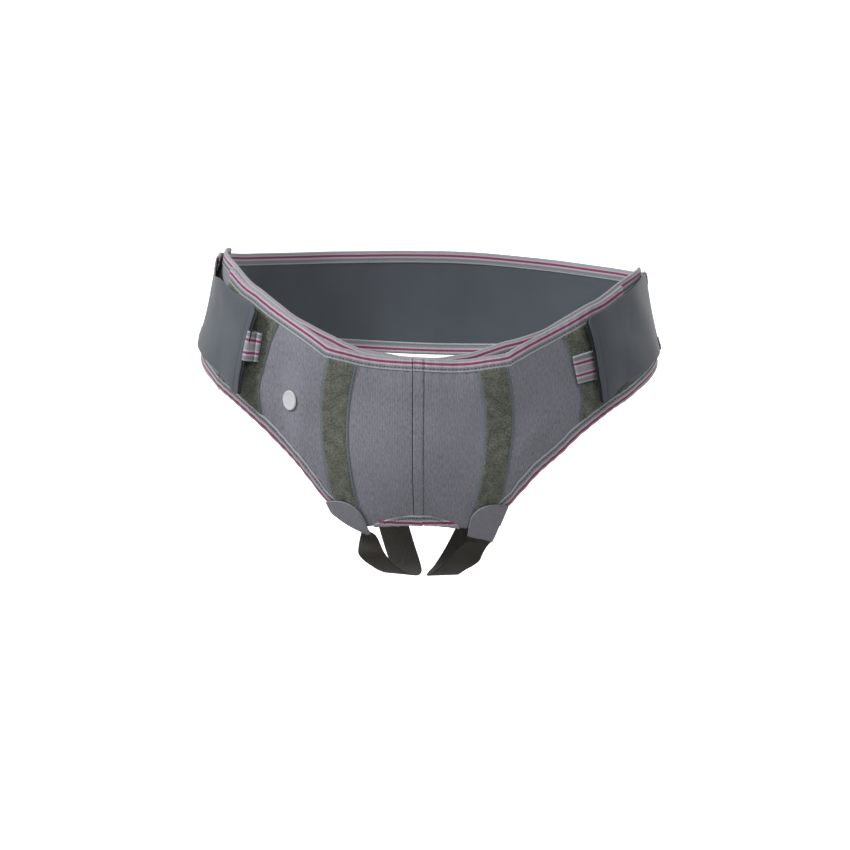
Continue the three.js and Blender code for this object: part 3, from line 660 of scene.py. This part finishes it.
def ply(name, runs, shares, bottom, top, inner, outer, material, slot, node, *under):
    """A ply between two edges and two faces. What it rests on, under, is not used."""
    run, share = np.meshgrid(runs, shares, indexing="ij")
    z = mix(bottom(run), top(run), share)
    flat = np.stack([run, z], -1)
    cloth = worn_cloth(name, run, z, outer(run, z), inner(run, z), flat, material, slot, node)
    worn_sheet(cloth, runs, bottom, top, *under)


def fold_length(runs, edge, inner, outer):
    """Ribbon that half of the fold round an edge takes up, evened out along the edge."""
    z = edge(runs)
    thick = np.pad(outer(runs, z) - inner(runs, z), EVENED // 2, mode="edge")
    even = np.convolve(thick, np.ones(EVENED) / EVENED, mode="valid")
    return math.pi / 2 * (even / 2 + RIBBON_AIR + RIBBON_THICK / 2)


def bound_edge(name, runs, edge, way, inner, outer, node, width=None, end_fold=False):
    """Ribbon folded round an edge. way is the sense from the edge into the cloth, width the share
    of the ribbon's width that shows at each run, and end_fold a turned-in last end."""
    shown = np.ones(len(runs)) if width is None else width(runs)
    steep = steepness(edge, runs)
    fold = fold_length(runs, edge, inner, outer)
    flat_part = (FOLD - fold) * shown
    turned = END_FOLD * fade((np.abs(runs[-1] - runs) - 4.0) / 0.8) if end_fold else 0.0
    grids = []
    for stack in (RIBBON_AIR + RIBBON_THICK, RIBBON_AIR):
        shell, across = [], []
        on_top = stack > RIBBON_AIR

        def flat_row(share, side):
            into = flat_part * share
            z = edge(runs) + way * into * steep
            groove = 0.3 * bell((flat_part - into - STITCH_INSET) / 0.7)
            rim = 0.25 if share == 1.0 else 0.0
            lift = stack + (turned - groove - rim if on_top else 0.0)
            face = outer(runs, z) if side > 0 else inner(runs, z)
            shell.append(off_hip(runs, z, face + side * lift))
            across.append(FOLD - side * (fold * shown + into))

        for share in FLAT_SHARES:
            flat_row(share, 1)
        z = edge(runs)
        top = outer(runs, z) + stack + (turned if on_top else 0.0)
        bottom = inner(runs, z) - stack
        for turn in np.linspace(math.pi / 2, -math.pi / 2, 11):
            off = (top + bottom) / 2 + (top - bottom) / 2 * math.sin(turn)
            beyond = (top - bottom) / 2 * 0.75 * math.cos(turn)
            shell.append(off_hip(runs, z - way * beyond * steep, off))
            across.append(FOLD - fold * shown * turn / (math.pi / 2))
        for share in reversed(FLAT_SHARES):
            flat_row(share, -1)
        grids.append(np.stack(shell, 1))
    flat = np.stack([np.broadcast_to(runs[:, None], grids[0].shape[:2]), np.stack(across, 1)], -1)
    cloth_piece(name, *grids, flat, ribbon, "striped_ribbon", node)


def ring_faces(base, rings, sides):
    """Faces between rings of points."""
    k = np.arange(sides)
    n = (k + 1) % sides
    starts = base + sides * np.arange(rings - 1)
    rings = [np.stack([q + k, q + n, q + sides + n, q + sides + k], 1) for q in starts]
    return np.concatenate(rings).tolist()


def stitches(name, lines, thread=dark_thread, slot="striped_ribbon", pitch=3.2, length=2.3, radius=0.24):
    """Rows of stitches: each is a short thread that dips into the cloth at both ends."""
    rings = [(0.0, 0.45, -0.3), (0.12, 0.9, 0.02), (0.5, 1.0, 0.14), (0.88, 0.9, 0.02), (1.0, 0.45, -0.3)]
    sides = 6
    turns = [2 * math.pi * k / sides for k in range(sides)]
    points, faces, flat = [], [], []
    for line, normals in lines:
        at = way_along(line)
        for start in np.arange(pitch * 0.3, at[-1] - length, pitch):
            head, tail = rows_at([start, start + length], at, line)
            along = unit(tail - head)
            normal = rows_at(start + length / 2, at, normals)
            normal = unit(normal - along * normal.dot(along))
            side = np.cross(normal, along)
            base = len(points)
            for share, fat, lift in rings:
                centre = mix(head, tail, share) + normal * lift
                for k, a in enumerate(turns):
                    points.append(centre + radius * fat * (math.cos(a) * normal + math.sin(a) * side))
                    flat.append((start + share * length, k * 0.4))
            faces += ring_faces(base, len(rings), sides)
            faces.append(tuple(range(base + sides - 1, base - 1, -1)))
            faces.append(tuple(range(len(points) - sides, len(points))))
    make_piece(name, points, faces, flat, thread, slot)


SIDES = (("left", 1), ("right", -1))
lining_rim = (lining_top, -1, lining_inner, lining_outer)
panel_rim = (panel_top, -1, panel_inner, panel_outer)
even_shares = np.linspace(0, 1, 46)
panel_shares = np.concatenate([np.linspace(0, 0.12, 10), np.linspace(0.14, 0.86, 34), np.linspace(0.88, 1, 9)])

# Lining, right across the front and under the wings
ply("lining_cloth", spaced(-LINING_RUN, LINING_RUN, 3.0), even_shares, front_hem, lining_top,
    lining_inner, lining_outer, lining_knit, "lining_knit", "lining")
bound_edge("lining_ribbon", spaced(-LINING_RUN, LINING_RUN, 2.0), *lining_rim, "lining_binding")

# Outer panel in two halves, which meet at the centre seam
for side, way in SIDES:
    runs = spaced(-SEAM_OFFSET + way * 0.4, way * PANEL_RUN, RIPPLE_STEP, SEAM_FINE)
    ply(f"front_panel_cloth_{side}", runs, panel_shares, front_hem, panel_top, panel_inner, panel_outer,
        panel_knit, "panel_knit", f"front_panel_{side}", "lining")
    bound_edge(f"top_ribbon_{side}", runs, *panel_rim, f"top_binding_{side}", end_fold=True)

# Bindings that hold both plies together
STACK_END = PANEL_RUN + 0.8
STACK_RAMP = STACK_END + 14


def stack_outer(run, z):
    beyond = np.clip((np.abs(run) - STACK_END) / (STACK_RAMP - STACK_END), 0, 1)
    return mix(panel_outer(run, z), LINING_OUTER, beyond)


leg_rim = (leg_hem, 1, lining_inner, stack_outer)
arc_rim = (arc_hem, 1, lining_inner, panel_outer)
LEG_RIBBON_START = CORNER_RUN + FOLD * 0.75
ARC_END = CORNER_RUN - FOLD * 0.6
for side, way in SIDES:
    runs = spaced(way * LEG_RIBBON_START, way * LINING_RUN, RIPPLE_STEP)
    bound_edge(f"leg_ribbon_{side}", runs, *leg_rim, f"leg_binding_{side}")


def arc_width(run):
    """The arc's ribbon runs out under the tabs."""
    return 1 - 0.85 * (run / ARC_END) ** 2


runs = spaced(-ARC_END, ARC_END, RIPPLE_STEP, SEAM_FINE)
bound_edge("arc_ribbon", runs, *arc_rim, "arc_binding", width=arc_width)

# Loop strips and loop fields, with a tangled face between flat woven edges
TOP_SHOWN, LEG_SHOWN = 9.8, 8.6  # ribbon that shows on the panel, with a little air
TAPE_EDGE, FIELD_EDGE = 1.9, 0.9
PILE_BASE, PILE_HEIGHT, PILE_TANGLE = 0.55, 0.6, 0.16


def loop_cloth(name, way, from_edge, to_edge, columns, material, node, two_sided):
    share = np.linspace(0, 1, 96)[:, None]
    t = np.linspace(0, 1, columns)[None, :]
    first, last = from_edge(share), to_edge(share)
    run = way * mix(first, last, t)
    low = leg_hem(run) + LEG_SHOWN * steepness(leg_hem, run)
    high = panel_top(run) - TOP_SHOWN * steepness(panel_top, run)
    z = mix(low, high, share)
    across = t * (last - first)
    from_side = np.minimum(across, (1 - t) * (last - first)) if two_sided else across
    pile = np.clip((from_side - (TAPE_EDGE if two_sided else FIELD_EDGE)) / 0.8, 0, 1)
    tangle = rng.normal(0, PILE_TANGLE, run.shape)
    base = panel_outer(run, z) + 0.12
    face = base + PILE_BASE + pile * (PILE_HEIGHT + tangle)
    worn_cloth(name, run, z, face, base, np.stack([across, z], -1), material, "loop_pile", node)


def strip_middle(share):
    return STRIP_RUN - STRIP_SWEEP * strip_sweep(share)


for side, way in SIDES:
    loop_cloth(f"loop_strip_tape_{side}", way, lambda s: strip_middle(s) - STRIP_WIDTH / 2,
               lambda s: strip_middle(s) + STRIP_WIDTH / 2, 26, strip_pile, f"loop_strip_{side}", True)
    loop_cloth(f"loop_field_cloth_{side}", way, lambda s: FIELD_RUN + FIELD_SWEEP * field_sweep(s),
               lambda s: np.full(s.shape, PANEL_RUN - 1.6), 52, field_pile, f"loop_field_{side}", False)

# Wings, each with a dark hook patch underneath. The strip of the patch that shows in front of each wing is
# painted shade, standing in for the shadowed gap under the lifted front edge.
PATCH_THICK, PATCH_INSET, HOOK_SHOWN_AS_SHADE = 0.9, 0.8, 2.2
FRONT_LIFT, LIFT_REACH = 4.2, 32.0
FORWARD = {1: (3.5, 4.5), -1: (4.2, 7.0)}  # how far each front edge is pulled on, foot and head
FRONT_BOW = 1.6
TOP_TUCK = {1: 2.4, -1: -0.6}  # how much higher each wing's top edge comes under the ribbon
TOP_DIP, DIP_RUN, DIP_REACH = {1: 0.0, -1: 7.0}, 214.0, 32.0
WING_CORNER, HEM_INSET, HEM_DEPTH = 5.0, 4.2, 0.4
WING_END = WING_ROOT - 0.4


def wing_front(share):
    return WING_FRONT + WING_SLANT * (1 - share)


def wing_edge(share, way):
    return wing_front(share) - mix(*FORWARD[way], share) + FRONT_BOW * np.sin(math.pi * share)


def worn_wing_top(run):
    way = 1 if np.all(run > 0) else -1
    return wing_top(run) + TOP_TUCK[way] - TOP_DIP[way] * fade(np.abs(np.abs(run) - DIP_RUN) / DIP_REACH)


def wing_sheet(name, way, from_edge, inset, last, low, high, material, *nodes):
    """A layer of a wing between two thicknesses, inset from the wing's edges."""
    share = np.concatenate([np.linspace(0, 0.1, 9), np.linspace(0.13, 0.87, 26), np.linspace(0.9, 1, 9)])
    reach = np.concatenate([np.linspace(0, 0.09, 12), np.linspace(0.105, 1, 50)])
    tall = float(wing_top(way * WING_FRONT) - wing_bottom(way * WING_FRONT))
    from_corner = np.clip(1 - np.minimum(share, 1 - share) * tall / WING_CORNER, 0, 1)
    rounded = WING_CORNER * (1 - np.sqrt(1 - from_corner**2))
    edge = wing_edge(share, way)
    run = way * mix((edge + from_edge + rounded)[None, :], last, reach[:, None])
    length = np.abs(run)
    from_front = length - edge[None, :]
    z = mix(wing_bottom(run) + inset, worn_wing_top(run) - inset, share[None, :])
    hem = -HEM_DEPTH * bell((from_front - HEM_INSET) / 0.7) * high
    ripple = ripples(length, z, 0.5, 9.0, 31, 0, 17, 0.8)
    over_panel = 0.8 * fade((length - PANEL_RUN + 10) / 40)
    off = wing_inner(run, z) + ripple + over_panel + FRONT_LIFT * fade(from_front / LIFT_REACH)
    flat = np.stack([length, z], -1)
    return worn_cloth(name, run, z, off + high + hem, off + low, flat, material, "slate_fabric", *nodes)


for side, way in SIDES:
    cloth = wing_sheet(f"wing_cloth_{side}", way, 0.0, 0.0, WING_END, PATCH_THICK, WING_THICK,
                       slate_cloth, f"wing_{side}")
    runs = way * np.linspace(float(wing_edge(0.5, way)), WING_END, 60)
    worn_sheet(cloth, runs, wing_bottom, worn_wing_top, f"front_panel_{side}")
    # The patch reaches past the wing's front edge, so a near-black strip of it shows there as painted shade
    # for the gap under the edge.
    wing_sheet(f"hook_patch_and_painted_shade_{side}", way, -HOOK_SHOWN_AS_SHADE, PATCH_INSET, PANEL_RUN + 8, 0.0,
               PATCH_THICK + 0.05, hook_tape)

# Pull loops: doubled ribbon tucked under the front edge of each wing, as paths of (forward, out).
# One lies flat. The other stands open, and its outer limb has slipped down.
PULL_DROP, PULL_TURN, PULL_SLIP = {1: 5.2, -1: -1.4}, {1: 0.05, -1: 0.0}, {1: 0.4, -1: 1.2}
PULL_SEAT = 1.2
FLAT_PULL = [(-10, -0.7), (-4, -0.7), (4, -0.4), (10.5, 0.1), (15.0, 0.7), (16.4, 1.5), (15.0, 2.1),
             (10.5, 1.7), (4, 1.1), (-4, 0.8), (-10, 0.7)]
OPEN_START, OPEN_END = [(-10, -0.7), (-4, -0.7), (2, -0.7), (6.8, -0.6)], [(-1.0, 8.0), (-5, 7.7)]
OPEN_HEAD = [(9.2, 0.2), (10.1, 2.0), (9.4, 3.8), (7.6, 4.4), (5.8, 3.0), (4.8, 0.9), (3.9, 3.6),
             (3.2, 7.4), (1.9, 9.2), (0.5, 8.9)]
OPEN_FOOT = [(9.2, 0.0), (10.0, 1.6), (9.6, 3.0), (8.6, 3.2), (7.6, 1.9), (6.8, 0.7), (5.9, 3.4),
             (4.5, 7.9), (2.5, 9.6), (0.7, 9.1)]
PULL_PATHS = {1: (FLAT_PULL, FLAT_PULL), -1: [OPEN_START + p + OPEN_END for p in (OPEN_FOOT, OPEN_HEAD)]}


def smooth_line(points, count):
    """A smooth line through points, as count evenly spaced points, with their places among the
    given points and their lengths along the line."""
    points = np.array(points, float)
    padded = np.concatenate([[2 * points[0] - points[1]], points, [2 * points[-1] - points[-2]]])
    dense, place = [], []
    for i in range(len(points) - 1):
        p = padded[i : i + 4]
        knot = way_along(p, 0.5)
        for u in np.linspace(0, 1, 40, endpoint=i == len(points) - 2):
            t = mix(knot[1], knot[2], u)
            a = [mix(p[k], p[k + 1], (t - knot[k]) / (knot[k + 1] - knot[k])) for k in range(3)]
            b = [mix(a[k], a[k + 1], (t - knot[k]) / (knot[k + 2] - knot[k])) for k in range(2)]
            dense.append(mix(b[0], b[1], (t - knot[1]) / (knot[2] - knot[1])))
            place.append(i + u)
    dense = np.array(dense)
    at = way_along(dense)
    even = np.linspace(0, at[-1], count)
    return rows_at(even, at, dense), np.interp(even, at, place), even


for side, way in SIDES:
    (foot_path, _, at), (head_path, _, _) = (smooth_line(path, 84) for path in PULL_PATHS[way])
    course = mix(foot_path[:, None], head_path[:, None], np.linspace(0, 1, 19)[None, :, None])
    slip = PULL_SLIP[way] * (1 - fade(at / at[-1]))
    tangent = unit(np.gradient(course, axis=0))
    head, foot = float(wing_top(way * wing_front(1))), float(wing_bottom(way * wing_front(0)))
    middle = (head + foot) / 2 - PULL_DROP[way]
    slant = math.atan2(WING_SLANT, head - foot) + PULL_TURN[way]
    across = np.linspace(-0.5, 0.5, 19)[None, :] * (RIBBON_WIDTH - 0.3)
    grids = []
    for face in (RIBBON_THICK / 2, -RIBBON_THICK / 2):
        forward = course[..., 0] + face * tangent[..., 1]
        out = course[..., 1] - face * tangent[..., 0]
        run = way * (wing_edge(0.5, way) - forward * math.cos(slant) - across * math.sin(slant))
        z = middle - forward * math.sin(slant) + across * math.cos(slant) - slip[:, None]
        grids.append(off_hip(run, z, loop_outer(run, z) + PULL_SEAT + RIBBON_THICK / 2 + out))
    flat = np.stack(np.broadcast_arrays(at[:, None], across + FOLD), -1)
    cloth_piece(f"pull_loop_ribbon_{side}", *grids, flat, ribbon, "striped_ribbon", f"pull_loop_{side}")

# Back belt and its bindings. On the wearer's right the top ribbon starts on the wing.
ROOT_RIBBON_RUN = 240.0
BACK_START, BACK_END = WING_ROOT + 0.2, 2 * HALF - WING_ROOT - 0.2


back_faces = (lambda run, z: back_inner(run) + 0 * z, lambda run, z: back_inner(run) + BACK_THICK + 0 * z)
ply("back_belt_cloth", spaced(BACK_START, BACK_END, 4.0), np.linspace(0, 1, 20), back_bottom, back_top,
    *back_faces, slate_cloth, "slate_fabric", "back_belt")
runs = spaced(BACK_START, BACK_END, 3.0)
bound_edge("back_top_ribbon", runs, back_top, -1, *back_faces, "back_top_binding")
bound_edge("back_hem_ribbon", runs, back_bottom, 1, *back_faces, "back_hem_binding")
bound_edge("root_ribbon_right", spaced(-ROOT_RIBBON_RUN, -WING_ROOT, 2.0), worn_wing_top, -1, wing_inner,
           lambda run, z: wing_inner(run, z) + WING_THICK, "back_top_binding")

# Leg straps and their tabs
STRAP_WIDTH, TAB_LENGTH, TAB_CORNER, TAB_LEAN = 28.0, 33.0, 22.0, 0.25
TAB_FOOT_RUN, TAB_FOOT_DROP = 62.5, 148.5
TAB_CURL, TAB_FLARE = {1: 0.1, -1: 1.35}, {1: 5.0, -1: 1.0}
CURL_RADIUS, CURL_START = 4.0, 1.5
STRAP_BACK_RUN, STRAP_STEP, STRAP_TUCK = 88.0, 13.0, 6.0
STRAP_SPREAD, STRAP_BLEND = {1: 2.5, -1: 1.5}, {1: 11.0, -1: 26.0}
STRAP_PATH = [  # across, along and drop as shares of half width, depth and drop; outer face's way
    (0.204, -0.68, 0.885, (0.3, -0.62, -0.72)), (0.135, -0.5, 0.96, (0.2, -0.38, -0.9)),
    (0.094, -0.25, 0.995, (0.08, -0.16, -0.98)), (0.084, 0, 1.0, (0.03, 0, -1)),
    (0.1, 0.25, 0.98, (0.04, 0.25, -0.96)), (0.14, 0.46, 0.905, (0.08, 0.55, -0.82)),
    (0.195, 0.66, 0.775, (0.15, 0.75, -0.62)), (0.26, 0.82, 0.61, (0.2, 0.88, -0.4)),
    (0.33, 0.92, 0.43, (0.26, 0.94, -0.2)),
]
STRAP_LIFTS = (-34, 2, 20)  # over the back belt's hem


def tab_point(way, distance, across, share):
    """A point of a tab, or of the strap past its foot. Past the leg edge it curls back round the
    groin, more on the wearer's right."""
    before = TAB_LENGTH - distance
    flare = TAB_FLARE[way] * np.clip(distance / TAB_LENGTH, 0, 1) ** 2
    run = way * (TAB_FOOT_RUN + before * math.sin(TAB_LEAN) + across * math.cos(TAB_LEAN) + flare)
    flat_z = before * math.cos(TAB_LEAN) - across * math.sin(TAB_LEAN) - TAB_FOOT_DROP
    steep = steepness(leg_hem, run)
    past = (leg_hem(run) - flat_z) / steep - CURL_START
    turn = np.clip(past / CURL_RADIUS, 0, TAB_CURL[way])
    straight = past - CURL_RADIUS * turn
    radius = CURL_RADIUS + share * STRAP_THICK
    z = leg_hem(run) - (CURL_START + radius * np.sin(turn) + straight * np.cos(turn)) * steep
    depth = CURL_RADIUS - radius * np.cos(turn) + straight * np.sin(turn)
    return off_hip(run, z, loop_outer(run, z) + PLY_GAP - depth)


def strap_path(way):
    """Points along the middle of a strap, and the way that its outer face looks."""
    tab_end = (TAB_LENGTH - STRAP_STEP, TAB_LENGTH)
    points = [tab_point(way, d, 0.0, 0.5) for d in tab_end]
    faces = [tab_point(way, d, 0.0, 1.0) - tab_point(way, d, 0.0, 0.0) for d in tab_end]
    for across, along, drop, face in STRAP_PATH:
        depth = HIP_FRONT_DEPTH if along < 0 else HIP_BACK_DEPTH
        points.append(np.array([way * across * HIP_HALF_WIDTH, along * depth, -drop * CROTCH_DROP]))
        faces.append(np.array([way * face[0], face[1], face[2]]))
    points[2][0] += STRAP_SPREAD[way]
    back_run = np.array(way * (HALF - STRAP_BACK_RUN))
    off = BACK_ON_BODY + BACK_THICK + BINDING_STACK + PLY_GAP + STRAP_THICK / 2
    for lift in STRAP_LIFTS:
        z = back_bottom(back_run) + lift
        points.append(off_hip(back_run, z, off))
        faces.append(hip_normal(back_run, z))
    return np.array(points), unit(np.array(faces))


columns = np.linspace(-0.5, 0.5, 21)
for side, way in SIDES:
    along = np.concatenate([[0, 0.25, 0.6, 1.1, 1.8], np.linspace(2.8, TAB_LENGTH, 26)])[:, None]
    reach = mix(0.06, 1, np.sqrt(1 - (1 - np.clip(along / TAB_CORNER, 0, 1)) ** 2))
    across = (0.5 - (0.5 - columns) * reach) * STRAP_WIDTH
    distance = np.broadcast_to(along, across.shape)
    from_side = (0.5 - np.abs(columns)) * STRAP_WIDTH * reach
    pressed = 0.22 * bell((from_side - 2.0) / 0.6)
    cloth_piece(f"strap_tab_cloth_{side}", tab_point(way, distance, across, 1.25 - pressed),
                tab_point(way, distance, across, -0.05), np.stack([across, distance], -1), tab_knit,
                "panel_knit", f"strap_tab_{side}")

    points, faces = strap_path(way)
    line, place, at = smooth_line(points, 190)
    keep = at >= STRAP_STEP - STRAP_TUCK
    tangent = unit(np.gradient(line, axis=0))
    facing, faced, _ = smooth_line(faces, 400)
    facing = rows_at(place, faced, facing)
    facing = unit(facing - tangent * np.einsum("ij,ij->i", facing, tangent)[:, None])
    sideways = (np.cross(facing, tangent) * way)[keep, None]
    line, facing, at = line[keep, None], facing[keep, None], at[keep] - STRAP_STEP
    across = columns * (STRAP_WIDTH - 1.2)
    share = fade(at / STRAP_BLEND[way])[:, None, None]
    flat = np.stack(np.meshgrid(at, across, indexing="ij"), -1)
    grids = []
    for thick in (0.9, 0.1):
        free = line + sideways * across[None, :, None] + facing * (thick - 0.5) * STRAP_THICK
        grids.append(mix(free, tab_point(way, TAB_LENGTH + flat[..., 0], flat[..., 1], thick), share))
    cloth_piece(f"leg_strap_webbing_{side}", *grids, flat, elastic, "elastic", f"leg_strap_{side}")

# Stitching
RIBBON_TOP = RIBBON_AIR + RIBBON_THICK - 0.1


def beside_edge(runs, edge, way, inner, outer, sign=1, width=1.0):
    """The line and the normals of a bound edge's stitching, on one side of the cloth."""
    into = (FOLD - fold_length(runs, edge, inner, outer)) * width - STITCH_INSET
    z = edge(runs) + way * into * steepness(edge, runs)
    face = outer(runs, z) if sign > 0 else inner(runs, z)
    return off_hip(runs, z, face + sign * RIBBON_TOP), hip_normal(runs, z) * sign


for side, way in SIDES:
    runs = spaced(-SEAM_OFFSET, way * PANEL_RUN, 1.5)
    stitches(f"top_stitching_{side}", [beside_edge(runs, *panel_rim)])
    runs = spaced(way * LEG_RIBBON_START, way * LINING_RUN, 1.5)
    stitches(f"leg_stitching_{side}", [beside_edge(runs, *leg_rim, sign) for sign in (1, -1)])
runs = spaced(-LINING_RUN, LINING_RUN, 2.0)
stitches("lining_stitching", [beside_edge(runs, *lining_rim, sign) for sign in (1, -1)])
runs = spaced(-ARC_END * 0.8, ARC_END * 0.8, 1.5)
stitches("arc_stitching", [beside_edge(runs, *arc_rim, 1, arc_width(runs))])
for side, offset, thread, length, radius in (
    ("right", -SEAM_OFFSET, dark_thread, 2.75, 0.36), ("left", SEAM_OFFSET, grey_thread, 2.6, 0.27)
):
    seam = []
    below, above = np.linspace(-FRONT_DROP + 8, -9.5, 60), np.linspace(-9.0, 0.0, 8)
    for z, lift in ((below, 0.1), (above, RIBBON_TOP)):
        runs = np.full(z.shape, offset)
        seam.append((off_hip(runs, z, panel_outer(runs, z) + lift), hip_normal(runs, z)))
    stitches(f"seam_stitching_{side}", seam, thread, "panel_knit", 2.9, length, radius)

# Marker disc: a low moulded button with a bevelled rim, as a profile of (radius, height)
DISC_PROFILE = [(8.3, 0), (8.5, 0.2), (8.5, 0.9), (8.25, 1.3), (7.7, 1.5), (7.1, 1.42), (6.6, 1.3),
                (3.0, 1.36)]
DISC_TOP, DISC_SIDES, DISC_RADIUS = 1.4, 64, 8.5


def panel_face(run, z):
    return off_hip(run, z, panel_outer(run, z))


run, z = np.array(-DISC_RUN), np.array(DISC_LEVEL)
level = panel_face(run + 6, z) - panel_face(run - 6, z)
out = unit(np.cross(level, panel_face(run, z + 6) - panel_face(run, z - 6)))
east = unit(np.cross([0, 0, 1.0], out))
north = np.cross(out, east)
centre = panel_face(run, z) + out * (0.6 - DISC_RADIUS**2 / HIP_FRONT_DEPTH / 4)
points, flat = [centre], [(0.0, 0.0)]
for radius, height in DISC_PROFILE:
    for turn in np.arange(DISC_SIDES) * 2 * math.pi / DISC_SIDES:
        x, y = radius * math.cos(turn), radius * math.sin(turn)
        points.append(centre + out * height + x * east + y * north)
        flat.append((x, y))
points.append(centre + out * DISC_TOP)
flat.append((0.0, 0.0))
faces = ring_faces(1, len(DISC_PROFILE), DISC_SIDES)
last = len(points) - 1
for k in range(DISC_SIDES):
    n = (k + 1) % DISC_SIDES
    faces += [(0, 1 + n, 1 + k), (last - DISC_SIDES + k, last - DISC_SIDES + n, last)]
make_piece("marker_disc_button", points, faces, flat, white_plastic, "disc_plastic", "marker_disc")


# Camera, at the height of the hips and a little to the wearer's left
def from_front(azimuth, height, distance):
    """A place at a distance from the origin, in degrees round from the front and up."""
    a, h = math.radians(azimuth), math.radians(height)
    level, high = math.cos(h), distance * math.sin(h)
    return distance * math.sin(a) * level, -distance * math.cos(a) * level, high


CAMERA_ROLL, CAMERA_DISTANCE, CAMERA_LENS = math.radians(1.3), 2.8, 134.1
TARGET = Vector((-0.0026, 0.0, -0.0598))
back = Vector(from_front(4.1, 2.0, 1.0))
right = Vector((0, 0, 1)).cross(back).normalized()
up = back.cross(right)
c, s = math.cos(CAMERA_ROLL), math.sin(CAMERA_ROLL)
right, up = right * c + up * s, up * c - right * s
camera = put("camera", bpy.data.cameras.new("camera"))
turned = Matrix((right, up, back)).transposed().to_4x4()
camera.matrix_world = Matrix.Translation(TARGET + back * CAMERA_DISTANCE) @ turned
camera.data.lens, camera.data.sensor_width, camera.data.clip_end = CAMERA_LENS, 36.0, 50.0
bpy.context.scene.camera = camera


# Studio: a pale floor, a bright surround and three soft boxes
def soft_box(name, place, aim, size, power):
    lamp = bpy.data.lights.new(name, "AREA")
    lamp.shape = "RECTANGLE"
    lamp.size, lamp.size_y = size, size
    lamp.energy = power
    holder = put(name, lamp)
    holder.location = place
    holder.rotation_euler = (Vector(aim) - Vector(place)).to_track_quat("-Z", "Y").to_euler()


x, y, z = from_front(-60, 37, 2.9)
soft_box("key_box", (x, y, z - 0.05), (0, 0, -0.05), 0.55, 79)
soft_box("front_box", (0.7, -2.6, 1.35), (0, 0, -0.05), 1.4, 31)
soft_box("back_box", (1.6, 2.0, 1.2), (0, 0, 0), 1.2, 14)

FLOOR_LEVEL, FLOOR_FRONT, FLOOR_END, WALL_TOP, HALF_STAGE = -0.9, -8.0, 2.4, 6.0, 12.0
BEND = 1.5


def stage_piece(name, profile, material_name, inputs):
    """A part of the stage, from a profile of (y, z) points."""
    material, tree = new_material(material_name)
    surface(tree, inputs)
    mesh = bpy.data.meshes.new(name)
    points = [(x, y, z) for y, z in profile for x in (-HALF_STAGE, HALF_STAGE)]
    faces = [(2 * k, 2 * k + 1, 2 * k + 3, 2 * k + 2) for k in range(len(profile) - 1)]
    mesh.from_pydata(points, [], faces)
    mesh.materials.append(material)
    put(name, mesh)


stage_piece("floor", [(FLOOR_FRONT, FLOOR_LEVEL), (FLOOR_END, FLOOR_LEVEL)], "painted_floor",
            {"Base Color": linear("#b8b8b8"), "Roughness": 0.9})
turns = np.linspace(0, math.pi / 2, 13)
bend = [(FLOOR_END + BEND * math.sin(a), FLOOR_LEVEL + BEND * (1 - math.cos(a))) for a in turns]
white = linear("#ffffff")
stage_piece("backdrop", bend + [(FLOOR_END + BEND, WALL_TOP)], "lit_backdrop",
            {"Base Color": white, "Roughness": 1.0, "Emission Color": white, "Emission Strength": 0.75})

world = bpy.data.worlds.new("studio")
world.use_nodes = True
sky = world.node_tree.nodes["Background"].inputs
sky["Color"].default_value, sky["Strength"].default_value = (1, 1, 1, 1), 0.36
bpy.context.scene.world = world
bpy.context.scene.view_settings.view_transform = "Standard"
